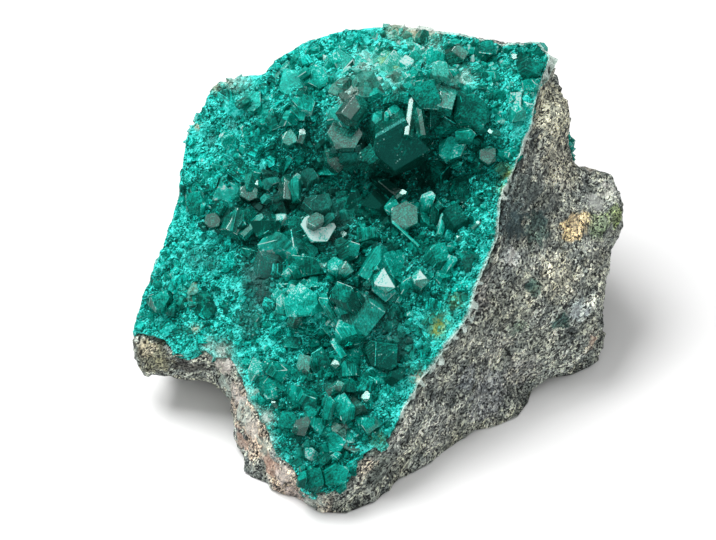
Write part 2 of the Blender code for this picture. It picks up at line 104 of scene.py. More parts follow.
# Crystals that turn one facet to the view: the pixel of the facet's middle, the crystal's radius
# and length, which of its facets it is, how many degrees the long axis (or a corner, on facets
# square to it) slants from upright, where the facet faces (a lamp that it mirrors, or how far it
# tips to the right and up from the view), how far it is raised, and its tone. A tone of 1 or more
# paints the shown facet whitish as a painted highlight.
SHOWN_CRYSTALS = [
    (423, 91, 2.9, 4.8, "rhomb", 25, (-0.25, 0.05), 0.8, 0.34),
    (448, 99, 2.5, 4.4, "rhomb", 150, "panel", 0.9, 0.34),
    (441, 67, 1.7, 3.2, "rhomb", -30, (0.1, 0.4), 0.5, 0.62),
    (474, 114, 3.3, 4.8, "rhomb", 82, (0.15, -0.15), 0.7, 0.24),
    (400, 147, 4.8, 8.0, "rhomb", 8, (0.1, -0.5), 1.0, -0.04),
    (378, 136, 2.2, 6.0, "prism", 30, (-0.4, 0.1), 0.6, 0.2),
    (381, 114, 2.8, 6.0, "prism", 10, (-0.15, 0.3), 2.4, 0.5),
    (398, 108, 1.4, 5.5, "rhomb", 10, (0.0, 0.25), 3.0, 0.56),
    (410, 107, 0.95, 7.0, "prism", 1, "key", 4.4, 0.3),
    (420, 116, 0.8, 4.6, "prism", -6, "panel", 3.0, 0.2),
    (436, 118, 2.0, 4.4, "triangle", 90, (0.35, -0.35), 0.9, -0.12),
    (346, 134, 2.7, 4.8, "hexagon", 28, "panel", 1.8, 0.1),
    (328, 152, 1.4, 4.0, "rhomb", -60, "panel", 0.9, 0.14),
    (349, 156, 1.8, 4.0, "rhomb", 40, (0.1, -0.05), 0.7, 0.34),
    (360, 101, 1.6, 5.0, "prism", 35, "panel", 0.9, 0.16),
    (341, 113, 2.0, 4.2, "rhomb", 20, (-0.1, 0.3), 0.9, 0.7),
    (309, 106, 1.7, 3.8, "rhomb", 150, (0.1, 0.2), 0.8, 0.5),
    (290, 116, 1.3, 3.6, "prism", 85, (0.0, 0.4), 0.7, 0.62),
    (290, 137, 1.3, 3.4, "hexagon", 0, "panel", 0.9, 0.36),
    (303, 130, 0.75, 2.4, "rhomb", 30, "key", 1.3, 0.3),
    (254, 98, 2.2, 3.4, "rhomb", 40, (-0.1, 0.3), 0.6, 0.52),
    (291, 84, 3.5, 4.4, "rhomb", -36, (-0.15, 0.3), 0.6, 0.56),
    (284, 68, 0.6, 5.0, "prism", 40, "panel", 1.0, 0.7),
    (318, 74, 2.2, 3.6, "rhomb", 60, (0.1, 0.35), 0.5, 0.6),
    (337, 58, 1.7, 3.0, "rhomb", 20, (0.1, 0.45), 0.4, 0.7),
    (239, 214, 1.9, 4.8, "prism", 28, "panel", 0.9, 0.4),
    (256, 222, 0.7, 4.6, "prism", 42, "panel", 1.3, 0.6),
    (251, 216, 2.7, 4.6, "prism", 34, (0.2, 0.05), 0.5, 0.2),
    (296, 181, 1.3, 4.4, "prism", 2, (0.2, 0.25), 1.0, 0.62),
    (288, 182, 1.1, 4.3, "prism", 6, "panel", 0.9, 0.2),
    (309, 178, 2.1, 4.0, "rhomb", 12, (0.0, 0.1), 0.6, 0.28),
    (281, 215, 0.8, 2.6, "triangle", 176, (0.1, 0.5), 1.2, 0.86),
    (250, 193, 1.6, 3.0, "hexagon", 4, "panel", 0.5, 0.0),
    (212, 220, 1.4, 3.0, "hexagon", 15, "panel", 0.7, 0.0),
    (320, 226, 2.7, 3.8, "hexagon", 30, "panel", 1.6, 1.0),
    (317, 219, 1.3, 3.4, "hexagon", 0, "panel", 2.8, 0.1),
    (320, 203, 2.3, 4.2, "rhomb", 32, (0.0, 0.15), 2.6, 0.2),
    (294, 226, 2.2, 3.4, "rhomb", -60, (-0.3, 0.2), 0.6, 0.16),
    (344, 234, 0.55, 2.0, "triangle", 180, "key", 1.2, 0.3),
    (353, 249, 2.0, 3.6, "rhomb", 60, (0.1, 0.1), 0.6, 0.34),
    (323, 268, 1.6, 3.4, "triangle", 66, "panel", 0.7, 0.3),
    (336, 265, 1.5, 3.6, "triangle", 0, (0.0, 0.3), 0.9, 0.6),
    (346, 267, 1.1, 3.2, "triangle", 120, "panel", 1.0, 0.2),
    (385, 182, 1.1, 5.4, "prism", -48, "panel", 1.0, 0.0),
    (405, 213, 2.3, 4.2, "hexagon", 2, "panel", 1.0, 0.16),
    (392, 206, 1.4, 4.0, "triangle", 30, (-0.2, 0.1), 1.4, 0.46),
    (429, 196, 1.3, 4.2, "triangle", 20, (0.1, 0.5), 1.3, 0.68),
    (428, 214, 1.9, 4.6, "prism", 5, (0.0, 0.1), 0.9, 0.4),
    (439, 204, 1.0, 4.4, "prism", 5, (0.4, 0.0), 0.9, 0.16),
    (398, 260, 3.5, 8.0, "prism", 34, (-0.1, 0.1), 0.9, 0.42),
    (402, 230, 0.2, 5.2, "prism", -42, (0.2, 0.5), 1.4, 0.84),
    (383, 253, 1.6, 4.0, "prism", 34, (-0.5, -0.2), 0.6, -0.1),
    (455, 219, 2.5, 4.2, "rhomb", 14, (0.1, 0.0), 0.7, 0.08),
    (443, 217, 0.5, 4.2, "prism", 10, (-0.1, 0.4), 1.3, 0.8),
    (459, 236, 0.6, 2.2, "triangle", 80, "key", 1.2, 0.3),
    (442, 251, 2.0, 3.8, "rhomb", 30, (0.2, 0.1), 0.7, 0.46),
    (384, 279, 2.0, 3.0, "triangle", 4, "panel", 1.3, 1.04),
    (383, 292, 2.0, 3.4, "rhomb", 178, (0.0, 0.1), 0.7, 0.7),
    (421, 277, 1.3, 2.8, "triangle", -8, "panel", 1.2, 1.08),
    (301, 297, 3.2, 4.4, "rhomb", -8, (-0.1, 0.3), 0.6, 0.72),
    (299, 307, 1.1, 3.6, "rhomb", 20, "panel", 1.5, 0.3),
    (297, 314, 0.2, 1.6, "prism", 84, "key", 1.2, 0.6),
    (298, 319, 0.2, 1.4, "prism", 82, "key", 1.1, 0.6),
    (341, 295, 2.3, 4.8, "rhomb", -22, (-0.2, 0.15), 1.5, 0.24),
    (351, 300, 2.7, 4.6, "rhomb", -24, (0.0, 0.3), 0.5, 0.74),
    (343, 330, 2.0, 4.6, "prism", -32, (-0.1, 0.25), 0.5, 0.7),
    (352, 358, 1.6, 4.0, "prism", -4, (0.1, 0.2), 0.4, 0.5),
    (366, 320, 3.6, 5.2, "rhomb", 170, (0.15, 0.0), 0.8, 0.5),
    (303, 358, 1.6, 3.6, "rhomb", -30, "panel", 0.9, 0.44),
    (322, 358, 2.2, 3.4, "rhomb", 10, (0.1, 0.0), 0.2, 0.2),
    (335, 363, 0.65, 2.2, "triangle", 0, "key", 1.3, 0.3),
    (387, 355, 3.0, 4.4, "rhomb", 50, (0.1, 0.0), 0.3, 0.12),
    (366, 396, 0.75, 2.2, "hexagon", 0, "key", 1.4, 0.3),
    (340, 386, 0.9, 2.6, "rhomb", 70, "panel", 0.8, 0.3),
    (343, 401, 2.4, 4.0, "rhomb", 10, (0.0, 0.3), 0.8, 0.62),
    (313, 411, 1.4, 3.2, "triangle", 180, (0.0, 0.2), 0.8, 0.3),
    (288, 421, 2.0, 3.2, "rhomb", -36, (-0.1, 0.2), 0.6, 0.4),
    (303, 420, 1.3, 2.8, "rhomb", 20, "panel", 0.5, 0.1),
    (337, 441, 2.0, 3.2, "rhomb", 80, (0.0, 0.3), 0.6, 0.56),
    (352, 444, 1.4, 2.8, "hexagon", 0, "panel", 0.5, 0.1),
    (310, 452, 1.3, 2.8, "triangle", 60, (0.0, 0.3), 0.9, 0.72),
    (314, 478, 1.9, 3.0, "rhomb", 30, (-0.1, 0.1), 0.4, 0.3),
    (338, 474, 1.9, 3.2, "rhomb", 60, (0.1, 0.2), 0.6, 0.48),
    (368, 422, 1.3, 2.6, "rhomb", -40, (0.1, 0.2), 0.5, 0.5),
    (455, 147, 2.0, 3.4, "rhomb", 70, (0.0, 0.2), 0.6, 0.7),
    (488, 154, 1.5, 3.0, "hexagon", 60, "panel", 0.6, 0.0),
    (193, 197, 1.9, 3.4, "rhomb", 30, (-0.25, 0.2), 0.4, 0.5),
    (160, 298, 1.9, 3.0, "rhomb", 20, (-0.25, 0.3), 0.2, 0.45),
    (487, 46, 1.7, 3.0, "rhomb", 50, (0.0, 0.3), 0.2, 0.32),
    (461, 52, 1.6, 3.2, "rhomb", 80, "panel", 0.4, 0.3),
    (516, 73, 1.5, 3.0, "rhomb", 10, (-0.1, 0.3), 0.5, 0.55),
    (533, 66, 2.2, 3.4, "rhomb", 65, (0.2, 0.2), 0.2, 0.3),
    (543, 46, 1.0, 3.4, "prism", 24, (0.0, 0.4), 0.2, 0.72),
    (473, 85, 1.5, 3.0, "rhomb", 60, (0.0, 0.4), 0.6, 0.8),
    (517, 108, 1.3, 2.8, "rhomb", 0, (0.0, 0.3), 0.5, 0.8),
    (490, 131, 0.45, 1.8, "rhomb", -90, "key", 1.2, 0.3),
    (404, 191, 0.6, 2.0, "rhomb", 80, "key", 1.4, 0.3),
    (514, 56, 0.55, 2.0, "hexagon", 80, "key", 1.0, 0.3),
    (257, 182, 0.8, 2.0, "triangle", 20, "key", 1.2, 0.3),
    (478, 222, 0.4, 1.6, "rhomb", 70, "key", 1.0, 0.4),
    (273, 401, 0.35, 1.6, "rhomb", -40, "key", 1.0, 0.3),
]

# Zones of the crust as the view shows it: (x, y, radius) in pixels, and how much brighter (+) or
# deeper (-) the crystals are there. This is partly the crystals' own colour and partly painted
# light and shade: painted shade deepens the hollow under the overhanging crystals, and painted
# light brightens the upward-facing band along the top.
TONE_LIGHT_AND_SHADE_ZONES = [
    (440, 165, 44, -0.28), (400, 150, 40, -0.2), (370, 215, 62, -0.11), (300, 215, 52, -0.12),
    (260, 205, 36, -0.14), (300, 160, 32, -0.14), (330, 370, 28, -0.22), (255, 275, 26, -0.24),
    (400, 330, 32, -0.14), (250, 350, 22, -0.18), (345, 100, 18, -0.2), (450, 95, 26, -0.12),
    (212, 160, 32, 0.24), (180, 235, 30, 0.14), (240, 120, 24, 0.1), (165, 320, 26, 0.06),
    (335, 62, 46, 0.38), (395, 62, 34, 0.35), (460, 60, 34, 0.26), (520, 110, 30, 0.16),
    (492, 185, 26, 0.02), (480, 235, 24, -0.04), (458, 285, 22, 0.06), (440, 330, 20, 0.06),
    (300, 300, 22, 0.34), (345, 335, 14, 0.16), (232, 335, 28, 0.12), (262, 380, 20, 0.12),
    (308, 402, 22, 0.04), (400, 385, 24, 0.02), (330, 470, 24, 0.02), (285, 450, 18, 0.02),
    (362, 300, 14, -0.16), (432, 238, 16, -0.14), (301, 297, 18, 0.1), (322, 362, 18, 0.1),
    (372, 420, 20, -0.08), (478, 195, 22, -0.2), (448, 210, 14, 0.2), (275, 255, 12, 0.16),
    (455, 147, 10, 0.3), (400, 190, 26, 0.08), (345, 200, 26, 0.08),
]
# Where crystals stand close together in the druse, in the same way.
CRYSTAL_FIELDS = [
    (300, 140, 32, 1), (345, 150, 38, 1), (405, 150, 42, 1), (445, 125, 38, 1), (480, 105, 32, 1),
    (300, 75, 26, 1), (265, 210, 42, 1), (310, 215, 44, 1), (370, 210, 46, 1), (420, 225, 36, 1),
    (395, 262, 34, 1), (330, 260, 36, 1), (300, 300, 24, 1), (345, 312, 36, 1), (385, 300, 30, 1),
    (330, 370, 38, 1), (290, 412, 32, 1), (340, 430, 32, 1), (320, 470, 24, 1), (265, 388, 18, 1),
    (160, 300, 24, 1), (245, 120, 22, 1), (190, 200, 14, 1), (445, 72, 26, 1), (500, 60, 22, 1),
    (535, 62, 18, 1), (385, 350, 24, 1), (370, 100, 24, 1), (350, 60, 26, 0.8), (405, 55, 28, 0.8),
    (460, 45, 24, 0.8), (210, 165, 30, 0.4), (180, 250, 26, 0.3), (470, 200, 20, 0.5),
    (470, 290, 22, 0.4), (240, 330, 24, 0.4), (430, 360, 20, 0.4),
]
# Yellow-green and tan stains, in the same way.
MOSSY = [
    (440, 322, 9, 1.0), (436, 332, 6, 0.9), (456, 300, 7, 0.7), (508, 172, 7, 0.8),
    (505, 190, 6, 0.7), (385, 60, 8, 0.8), (396, 64, 6, 0.6), (378, 440, 7, 0.5), (455, 52, 5, 0.6),
]
RUSTY = [
    (198, 127, 3.0, 1.2), (187, 296, 4.0, 1.0), (193, 301, 3.0, 0.9), (195, 328, 4.0, 0.7),
    (215, 86, 6.0, 0.8), (228, 82, 5.0, 0.7), (395, 30, 9, 0.8), (414, 31, 9, 0.9),
    (430, 33, 8, 0.8), (418, 376, 6, 0.8), (422, 382, 5, 0.7),
]
# Whitish streaks and crusts; the first one, on the hexagon facet that mirrors the panel, is a
# painted reflection.
PALE_CRUSTS_AND_PAINTED_SHEEN = [
    (320, 232, 6, 0.5), (350, 86, 9, 0.7), (372, 84, 8, 0.6), (364, 63, 9, 0.6), (346, 98, 6, 0.6),
    (464, 78, 8, 0.6), (432, 54, 8, 0.5), (395, 78, 8, 0.4), (222, 352, 9, 0.9), (232, 372, 8, 0.8),
    (245, 394, 7, 0.7), (267, 418, 6, 0.9), (268, 440, 6, 0.8), (342, 430, 5, 0.7),
    (255, 408, 5, 0.6), (274, 460, 6, 0.5), (415, 378, 4, 0.8), (208, 344, 6, 0.6),
    (236, 80, 12, 0.5),
]
# Where the druse is dull, dark and speckled.
DULL = [
    (255, 275, 15, 0.9), (262, 298, 14, 0.8), (248, 322, 12, 0.7), (195, 256, 10, 0.6),
    (385, 322, 20, 0.5), (402, 344, 14, 0.6), (300, 193, 14, 0.6), (335, 214, 16, 0.5),
    (278, 196, 10, 0.7), (232, 214, 8, 0.5), (232, 125, 6, 0.7), (212, 139, 5, 0.7),
    (345, 138, 22, 0.55), (372, 285, 10, 0.5), (440, 88, 12, 0.3), (262, 205, 8, 0.6),
    (212, 265, 8, 0.5), (280, 178, 8, 0.5), (335, 238, 16, 0.4), (305, 452, 10, 0.4),
]

# Pixels along the crust's edge where bare rock shows beyond it, from its top right corner down the
# right side, round the foot and along the left side to the left lobe.
CRUST_EDGE = [
    (547, 60), (545, 76), (541, 90), (538, 104), (532, 122), (526, 138), (521, 155), (511, 175),
    (505, 190), (501, 205), (500, 222), (499, 238), (491, 257), (484, 272), (477, 289), (472, 309),
    (465, 324), (456, 336), (446, 347), (437, 364), (424, 378), (417, 388), (407, 406), (399, 421),
    (390, 438), (374, 449), (357, 460), (352, 472), (347, 485), (330, 492), (315, 495), (304, 488),
    (297, 476), (287, 463), (276, 454), (270, 440), (263, 425), (256, 410), (250, 398), (244, 388),
    (239, 376), (233, 364), (226, 354), (206, 366), (196, 364), (185, 360), (176, 356), (170, 348),
    (164, 340), (152, 337), (140, 333),
]

# ---------------------------------------------------------------- the view


def view_axes():
    """Right, up and forward of the view."""
    tilt = math.radians(VIEW_ELEVATION)
    right = Vector((1, 0, 0))
    forward = Vector((0, math.cos(tilt), -math.sin(tilt)))
    return right, right.cross(forward), forward


RIGHT, UP, FORWARD = view_axes()
PIXELS_FOCAL = VIEW_DISTANCE / MM_PER_PIXEL
MIDDLE_PIXEL = (VIEW_SIZE[0] / 2, VIEW_SIZE[1] / 2)
AIM_SHIFT = (MIDDLE_PIXEL[0] - FACE_CENTRE_PIXEL[0], MIDDLE_PIXEL[1] - FACE_CENTRE_PIXEL[1])
AIM = FACE_CENTRE + (RIGHT * AIM_SHIFT[0] - UP * AIM_SHIFT[1]) * MM_PER_PIXEL
EYE = AIM - FORWARD * VIEW_DISTANCE


def pixel_of(point):
    """The pixel that shows a point."""
    away = point - EYE
    scale = PIXELS_FOCAL / away.dot(FORWARD)
    return MIDDLE_PIXEL[0] + away.dot(RIGHT) * scale, MIDDLE_PIXEL[1] - away.dot(UP) * scale


def ray_through(x, y):
    """The direction from the eye through a pixel."""
    across, down = (x - MIDDLE_PIXEL[0]) / PIXELS_FOCAL, (y - MIDDLE_PIXEL[1]) / PIXELS_FOCAL
    return (FORWARD + RIGHT * across - UP * down).normalized()


# ---------------------------------------------------------------- the face and its ground


def face_frame():
    """Turns (u, v, w) of the crystal-covered face into the part's own millimetres."""
    turned = (
        Matrix.Rotation(math.radians(FACE_TURN), 4, "Z")
        @ Matrix.Rotation(math.radians(FACE_TILT), 4, "X")
        @ Matrix.Rotation(math.radians(FACE_SPIN), 4, "Z")
    )
    return Matrix.Translation(FACE_CENTRE) @ turned


FACE = face_frame()
OUTWARD = FACE.to_3x3() @ Vector((0, 0, 1))


def relief(u, v):
    """Height of the druse's ground over the plane of the face."""
    return sum(
        height * math.exp(-(((u - cu) / su) ** 2) - ((v - cv) / sv) ** 2)
        for cu, cv, su, sv, height in RELIEF
    )


def ground_normal(u, v):
    """Direction out of the druse's ground, in the face's frame."""
    step = 0.5
    rise_u = (relief(u + step, v) - relief(u - step, v)) / (2 * step)
    rise_v = (relief(u, v + step) - relief(u, v - step)) / (2 * step)
    return Vector((-rise_u, -rise_v, 1.0)).normalized()


def lean_frame(foot, normal, lean_u, lean_v, turn):
    """A frame standing at `foot`, leaning from the ground's own normal by degrees."""
    leaning = (
        Matrix.Rotation(math.radians(lean_u), 4, "Y")
        @ Matrix.Rotation(-math.radians(lean_v), 4, "X")
        @ Vector(normal)
    )
    upright = leaning.to_track_quat("Z", "Y").to_matrix().to_4x4()
    spun = Matrix.Rotation(math.radians(turn), 4, "Z")
    return Matrix.Translation(foot) @ upright @ spun


# Corners closer than this are one corner.
MERGED = 0.0005


def solid_of(name):
    """A CAD node as a merged bmesh in millimetres, and a tree for finding its surface."""
    bm = bmesh.new()
    bm.from_mesh(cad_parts[name].data)
    bm.transform(Matrix.Scale(1 / MM, 4))
    bmesh.ops.remove_doubles(bm, verts=bm.verts, dist=MERGED)
    return bm, BVHTree.FromBMesh(bm)


# ---------------------------------------------------------------- what the crust's colour follows


def zone_sum(point, zones):
    """What the zones add up to where the view shows this point."""
    x, y = pixel_of(point)
    return sum(
        change * math.exp(-((x - cx) ** 2 + (y - cy) ** 2) / radius**2)
        for cx, cy, radius, change in zones
    )


MIDDLE_TONE = 0.44
# Drifts of brighter and deeper crystals: their size and how strong they are.
DRIFTS = [(7.0, 0.22), (2.6, 0.30)]
# Painted shade: how much deeper the druse bed's tone is painted between close crystals.
GAP_PAINTED_SHADE = 0.45


def tone_at(point):
    """How bright or deep the crystals are: their own tone with its drifts, and the zones' painted
    light and shade.
    """
    drift = sum(strength * noise.noise(point / size) for size, strength in DRIFTS)
    return MIDDLE_TONE + zone_sum(point, TONE_LIGHT_AND_SHADE_ZONES) + drift


def field_at(point):
    """How closely crystals stand, from 0 in the druse to 1."""
    return min(1.0, zone_sum(point, CRYSTAL_FIELDS))


# What each face of the crust carries for its colour; its tone holds painted shade between close
# crystals.
ZONED = {
    "tone": lambda point: tone_at(point) - GAP_PAINTED_SHADE * field_at(point),
    "moss": lambda point: zone_sum(point, MOSSY),
    "rust": lambda point: zone_sum(point, RUSTY),
    "pale": lambda point: zone_sum(point, PALE_CRUSTS_AND_PAINTED_SHEEN),
    "dull": lambda point: zone_sum(point, DULL),
}
# The stains' colours; the pale one is also laid as a painted reflection.
STAINS = {
    "moss": (0.34, 0.42, 0.10, 1.0),
    "rust": (0.58, 0.46, 0.32, 1.0),
    "pale": (0.66, 0.76, 0.70, 1.0),
    "dull": (0.04, 0.085, 0.08, 1.0),
}


# ---------------------------------------------------------------- meshes and objects


def new_object(name, data):
    """An object in the scene."""
    made = bpy.data.objects.new(name, data)
    bpy.context.scene.collection.objects.link(made)
    return made


def as_piece(bm, name, finish, smooth=False):
    """The bmesh as a finished piece of the specimen, in metres."""
    bm.transform(Matrix.Scale(MM, 4))
    mesh = bpy.data.meshes.new(name)
    bm.to_mesh(mesh)
    bm.free()
    for face in mesh.polygons:
        face.use_smooth = smooth
    mesh.materials.append(finish)
    piece = new_object(name, mesh)
    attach(piece, "root")
    return piece


# How much brighter and how much darker the edges of a crystal can be, as painted highlights and
# painted shade lines on its bevelled edges, and how its facets differ from its own tone.
EDGE_HIGHLIGHTS_AND_SHADES = (0.85, -0.3)
FACET_TONES = (-0.14, -0.08, -0.05, 0.0, 0.0, 0.03, 0.05, 0.08, 0.2)
# From this tone on a crystal is painted whitish as a highlight, but only on its shown facet: its
# sides have SIDE_TONE.
PAINTED_HIGHLIGHT_TONE = 1.0
SIDE_TONE = 0.4
# The shown facet is the one that faces the shown way to within this cosine.
SHOWN_STRAIGHT = 0.97
# How much of the druse's stains its crystals take on.
STAINED = {"moss": 0.35, "rust": 0.4, "pale": 0.8, "dull": 1.0}
# How far the crystals' own patterns are shifted from each other at most.
PATTERN_SHIFT = 50


class Crystals:
    """Crystals gathered into one mesh: each has its own tone, and each facet its own sheen."""

    def __init__(self):
        self.points, self.facets, self.grown, self.raised = [], [], [], []
        self.carried = {label: [] for label in ("tone", "sheen", *STAINS)}

    def add(self, form, where, tone, chance, sheen=None, even=None):
        """Adds a crystal; a facet that faces along `even` has just its crystal's tone, and when
        that is whitish, a painted highlight, the others stay green."""
        points, facets, worn, ways = form
        top = max(point.z for point in points)
        self.raised.extend(point.z / top for point in points)
        first = len(self.points)
        shift = Vector([chance.uniform(0, PATTERN_SHIFT) for _ in range(3)])
        self.points.extend(where @ point for point in points)
        self.grown.extend(point + shift for point in points)
        self.facets.extend([first + corner for corner in facet] for facet in facets)
        for edge, way in zip(worn, ways):
            if edge:
                # A bevelled edge is painted brighter as a highlight or darker as a shade line.
                differs = chance.choice(EDGE_HIGHLIGHTS_AND_SHADES) * chance.random() ** 2
            else:
                differs = chance.choice(FACET_TONES)
            if even and way and way.dot(even) > SHOWN_STRAIGHT:
                self.carried["tone"].append(tone)
            elif tone < PAINTED_HIGHLIGHT_TONE:
                self.carried["tone"].append(tone + differs)
            else:
                self.carried["tone"].append(SIDE_TONE + differs + differs)
        self.carried["sheen"].extend(chance.random() if sheen is None else sheen for _ in facets)
        for label in STAINS:
            amount = STAINED[label] * ZONED[label](where @ points[-1])
            self.carried[label].extend(amount for _ in facets)

    def piece(self, name, finish):
        """The gathered crystals as a finished piece, with what they carry as attributes."""
        mesh = bpy.data.meshes.new(name)
        mesh.from_pydata([point * MM for point in self.points], [], self.facets)
        for label, values in self.carried.items():
            mesh.attributes.new(label, "FLOAT", "FACE").data.foreach_set("value", values)
        grown = mesh.attributes.new("grown", "FLOAT_VECTOR", "POINT")
        grown.data.foreach_set("vector", [c for point in self.grown for c in point])
        mesh.attributes.new("raised", "FLOAT", "POINT").data.foreach_set("value", self.raised)
        mesh.materials.append(finish)
        piece = new_object(name, mesh)
        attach(piece, "root")
        return piece


# ---------------------------------------------------------------- one crystal


def cleave(bm, normal, distance):
    """Cuts a solid along a flat plane and closes it with one facet."""
    cut = bmesh.ops.bisect_plane(
        bm,
        geom=bm.verts[:] + bm.edges[:] + bm.faces[:],
        dist=1e-4,
        plane_co=normal * distance,
        plane_no=normal,
        clear_outer=True,
    )
    rim = [e for e in cut["geom_cut"] if isinstance(e, bmesh.types.BMEdge)]
    if len(rim) > 2:
        bmesh.ops.contextual_create(bm, geom=rim)


def from_axis(tilt, turn):
    """A direction at `tilt` degrees from the crystal's long axis, turned round it."""
    return Vector((
        math.sin(math.radians(tilt)) * math.cos(math.radians(turn)),
        math.sin(math.radians(tilt)) * math.sin(math.radians(turn)),
        math.cos(math.radians(tilt)),
    ))


# A prism facet's distance from the axis over the crystal's radius, and how many degrees a rhomb's
# direction is from the axis.
HALF_ACROSS = 0.866
RHOMB_TILT = 51.0
# How unevenly a crystal grows: its prism facets and its rhombs, over their even growth, and how
# many degrees they turn aside.
SIDE_GROWTH = (0.75, 1.15)
SIDE_ASIDE = 1
TIP_GROWTH = (0.78, 1.08)
TIP_ASIDE = 2
# Breaks across the tip: only on crystals this tall for their radius, their tilt with its spread,
# and how many radii below the tip they run.
BREAKS_FROM = 1.5
CLEAVAGE_TILT = 47.0
CLEAVAGE_SPREAD = (-30, 24)
CLEAVAGE_DROP = (0.2, 0.9)
# Chips round a facet: their number, how far round it is to the next one in radians, their slope
# out of the facet, and how many radii from its middle they cut.
CHIPS = 3
CHIP_TURN = (1.2, 3.0)
CHIP_SLOPE = (0.1, 0.9)
CHIP_REACH = (0.45, 0.8)
# The least area of a facet that can mirror a lamp, over the radius squared.
MIRROR_AREA = 0.12


def dioptase(chance, radius, height, breaks=0, worn=0.0, cut=0.0, chipped=None):
    """A dioptase crystal in its own frame, foot at z = 0: six prism facets and three rhombs,
    unevenly grown, with flat breaks across its tip, its edges worn by a narrow bevel, and `cut`
    taken square off its tip. `chipped` is the middle and way of a facet whose outline is chipped
    away. Gives its points, its facets, which of them are worn edges, and which way each faces."""
    bm = bmesh.new()
    bmesh.ops.create_cube(bm, size=2.0)
    box = Matrix.Diagonal((2 * radius, 2 * radius, height, 1)) @ Matrix.Translation((0, 0, 1))
    bmesh.ops.transform(bm, matrix=box, verts=bm.verts)
    for side in range(6):
        grown = HALF_ACROSS * radius * chance.uniform(*SIDE_GROWTH)
        cleave(bm, from_axis(90, 30 + 60 * side + chance.uniform(-SIDE_ASIDE, SIDE_ASIDE)), grown)
    for side in range(3):
        tip = height * chance.uniform(*TIP_GROWTH)
        way = from_axis(RHOMB_TILT, 60 + 120 * side + chance.uniform(-TIP_ASIDE, TIP_ASIDE))
        cleave(bm, way, tip * way.z)
    if cut:
        cleave(bm, Vector((0, 0, 1)), height - cut)
    for _ in range(breaks if height > BREAKS_FROM * radius else 0):
        tilt = CLEAVAGE_TILT + chance.uniform(*CLEAVAGE_SPREAD)
        way = from_axis(tilt, chance.uniform(0, 360))
        cleave(bm, way, (height - chance.uniform(*CLEAVAGE_DROP) * radius) * way.z)
    if chipped:
        middle, facing_way = chipped
        side = facing_way.orthogonal().normalized()
        for _ in range(CHIPS):
            side = Matrix.Rotation(chance.uniform(*CHIP_TURN), 3, facing_way) @ side
            way = (side + facing_way * chance.uniform(*CHIP_SLOPE)).normalized()
            cleave(bm, way, way.dot(middle + side * radius * chance.uniform(*CHIP_REACH)))
    edges = set()
    if worn:
        bevelled = bmesh.ops.bevel(
            bm,
            geom=bm.edges[:],
            offset=worn,
            offset_type="OFFSET",
            segments=1,
            profile=0.5,
            affect="EDGES",
            clamp_overlap=True,
            material=-1,
        )
        edges = set(bevelled["faces"])
    bmesh.ops.recalc_face_normals(bm, faces=bm.faces)
    bm.verts.index_update()
    points = [v.co.copy() for v in bm.verts]
    facets = [[v.index for v in f.verts] for f in bm.faces]
    least = MIRROR_AREA * radius**2
    ways = [
        f.normal.copy() if f not in edges and f.calc_area() > least else None for f in bm.faces
    ]
    form = points, facets, [f in edges for f in bm.faces], ways
    bm.free()
    return form


def mirror_way(spot, lamp):
    """The direction a facet at `spot` would face to mirror a lamp to the eye."""
    return ((EYE - spot).normalized() + (LAMPS[lamp] - spot).normalized()).normalized()


# How near its mirror direction a facet starts to catch a lamp, in degrees.
GLINT = {"key": 15.0, "panel": 11.0, "front": 17.0}
# The share of crystals that may catch the softer lamps, and how often a place is tried again.
GREY_SHARE = 0.25
SETTLE_TRIES = 16


def catches_light(form, where, lamp):
    """Whether one of the form's facets mirrors a lamp."""
    way, turn = mirror_way(where.translation, lamp), where.to_3x3().normalized()
    near = math.cos(math.radians(GLINT[lamp]))
    return any(facet and (turn @ facet).dot(way) > near for facet in form[3])


def settled(form, stands, chance):
    """A frame from `stands`, tried again until no facet catches the key light, and few the
    others."""
    shunned = ["key"] if chance.random() < GREY_SHARE else ["key", "panel", "front"]
    for _ in range(SETTLE_TRIES):
        where = stands()
        if not any(catches_light(form, where, lamp) for lamp in shunned):
            break
    return where


# ---------------------------------------------------------------- shader building


def node(tree, kind, inputs=None, **settings):
    """A shader node with its settings, and its sockets given values or links."""
    made = tree.nodes.new(kind)
    for name, value in settings.items():
        setattr(made, name, value)
    for socket, value in (inputs or {}).items():
        if isinstance(value, bpy.types.NodeSocket):
            tree.links.new(value, made.inputs[socket])
        else:
            made.inputs[socket].default_value = value
    return made


def maths(tree, operation, *values):
    """The result of one operation on sockets or numbers."""
    made = node(tree, "ShaderNodeMath", dict(enumerate(values)), operation=operation)
    return made.outputs[0]


def sum_of(tree, *terms):
    """Adds sockets or numbers."""
    total = terms[0]
    for term in terms[1:]:
        total = maths(tree, "ADD", total, term)
    return total


def times(tree, first, second):
    """Multiplies sockets or numbers."""
    return maths(tree, "MULTIPLY", first, second)


def span(tree, value, low, high, to_low=0.0, to_high=1.0):
    """Stretches a value from low..high to another span, held at its ends."""
    made = node(
        tree,
        "ShaderNodeMapRange",
        {"Value": value, "From Min": low, "From Max": high, "To Min": to_low, "To Max": to_high},
    )
    return made.outputs["Result"]


# The sockets of a Mix node that take colours.
SHARE_SOCKET, FIRST_SOCKET, SECOND_SOCKET, MIXED_SOCKET = 0, 6, 7, 2


def blend_colour(tree, share, first, second, way="MIX"):
    """Lays the second colour over the first by a share, or multiplies it in."""
    made = node(
        tree,
        "ShaderNodeMix",
        {SHARE_SOCKET: share, FIRST_SOCKET: first, SECOND_SOCKET: second},
        data_type="RGBA",
        blend_type=way,
    )
    return made.outputs[MIXED_SOCKET]


def multiply_colour(tree, share, first, second):
    """Multiplies the second colour into the first by a share."""
    return blend_colour(tree, share, first, second, "MULTIPLY")


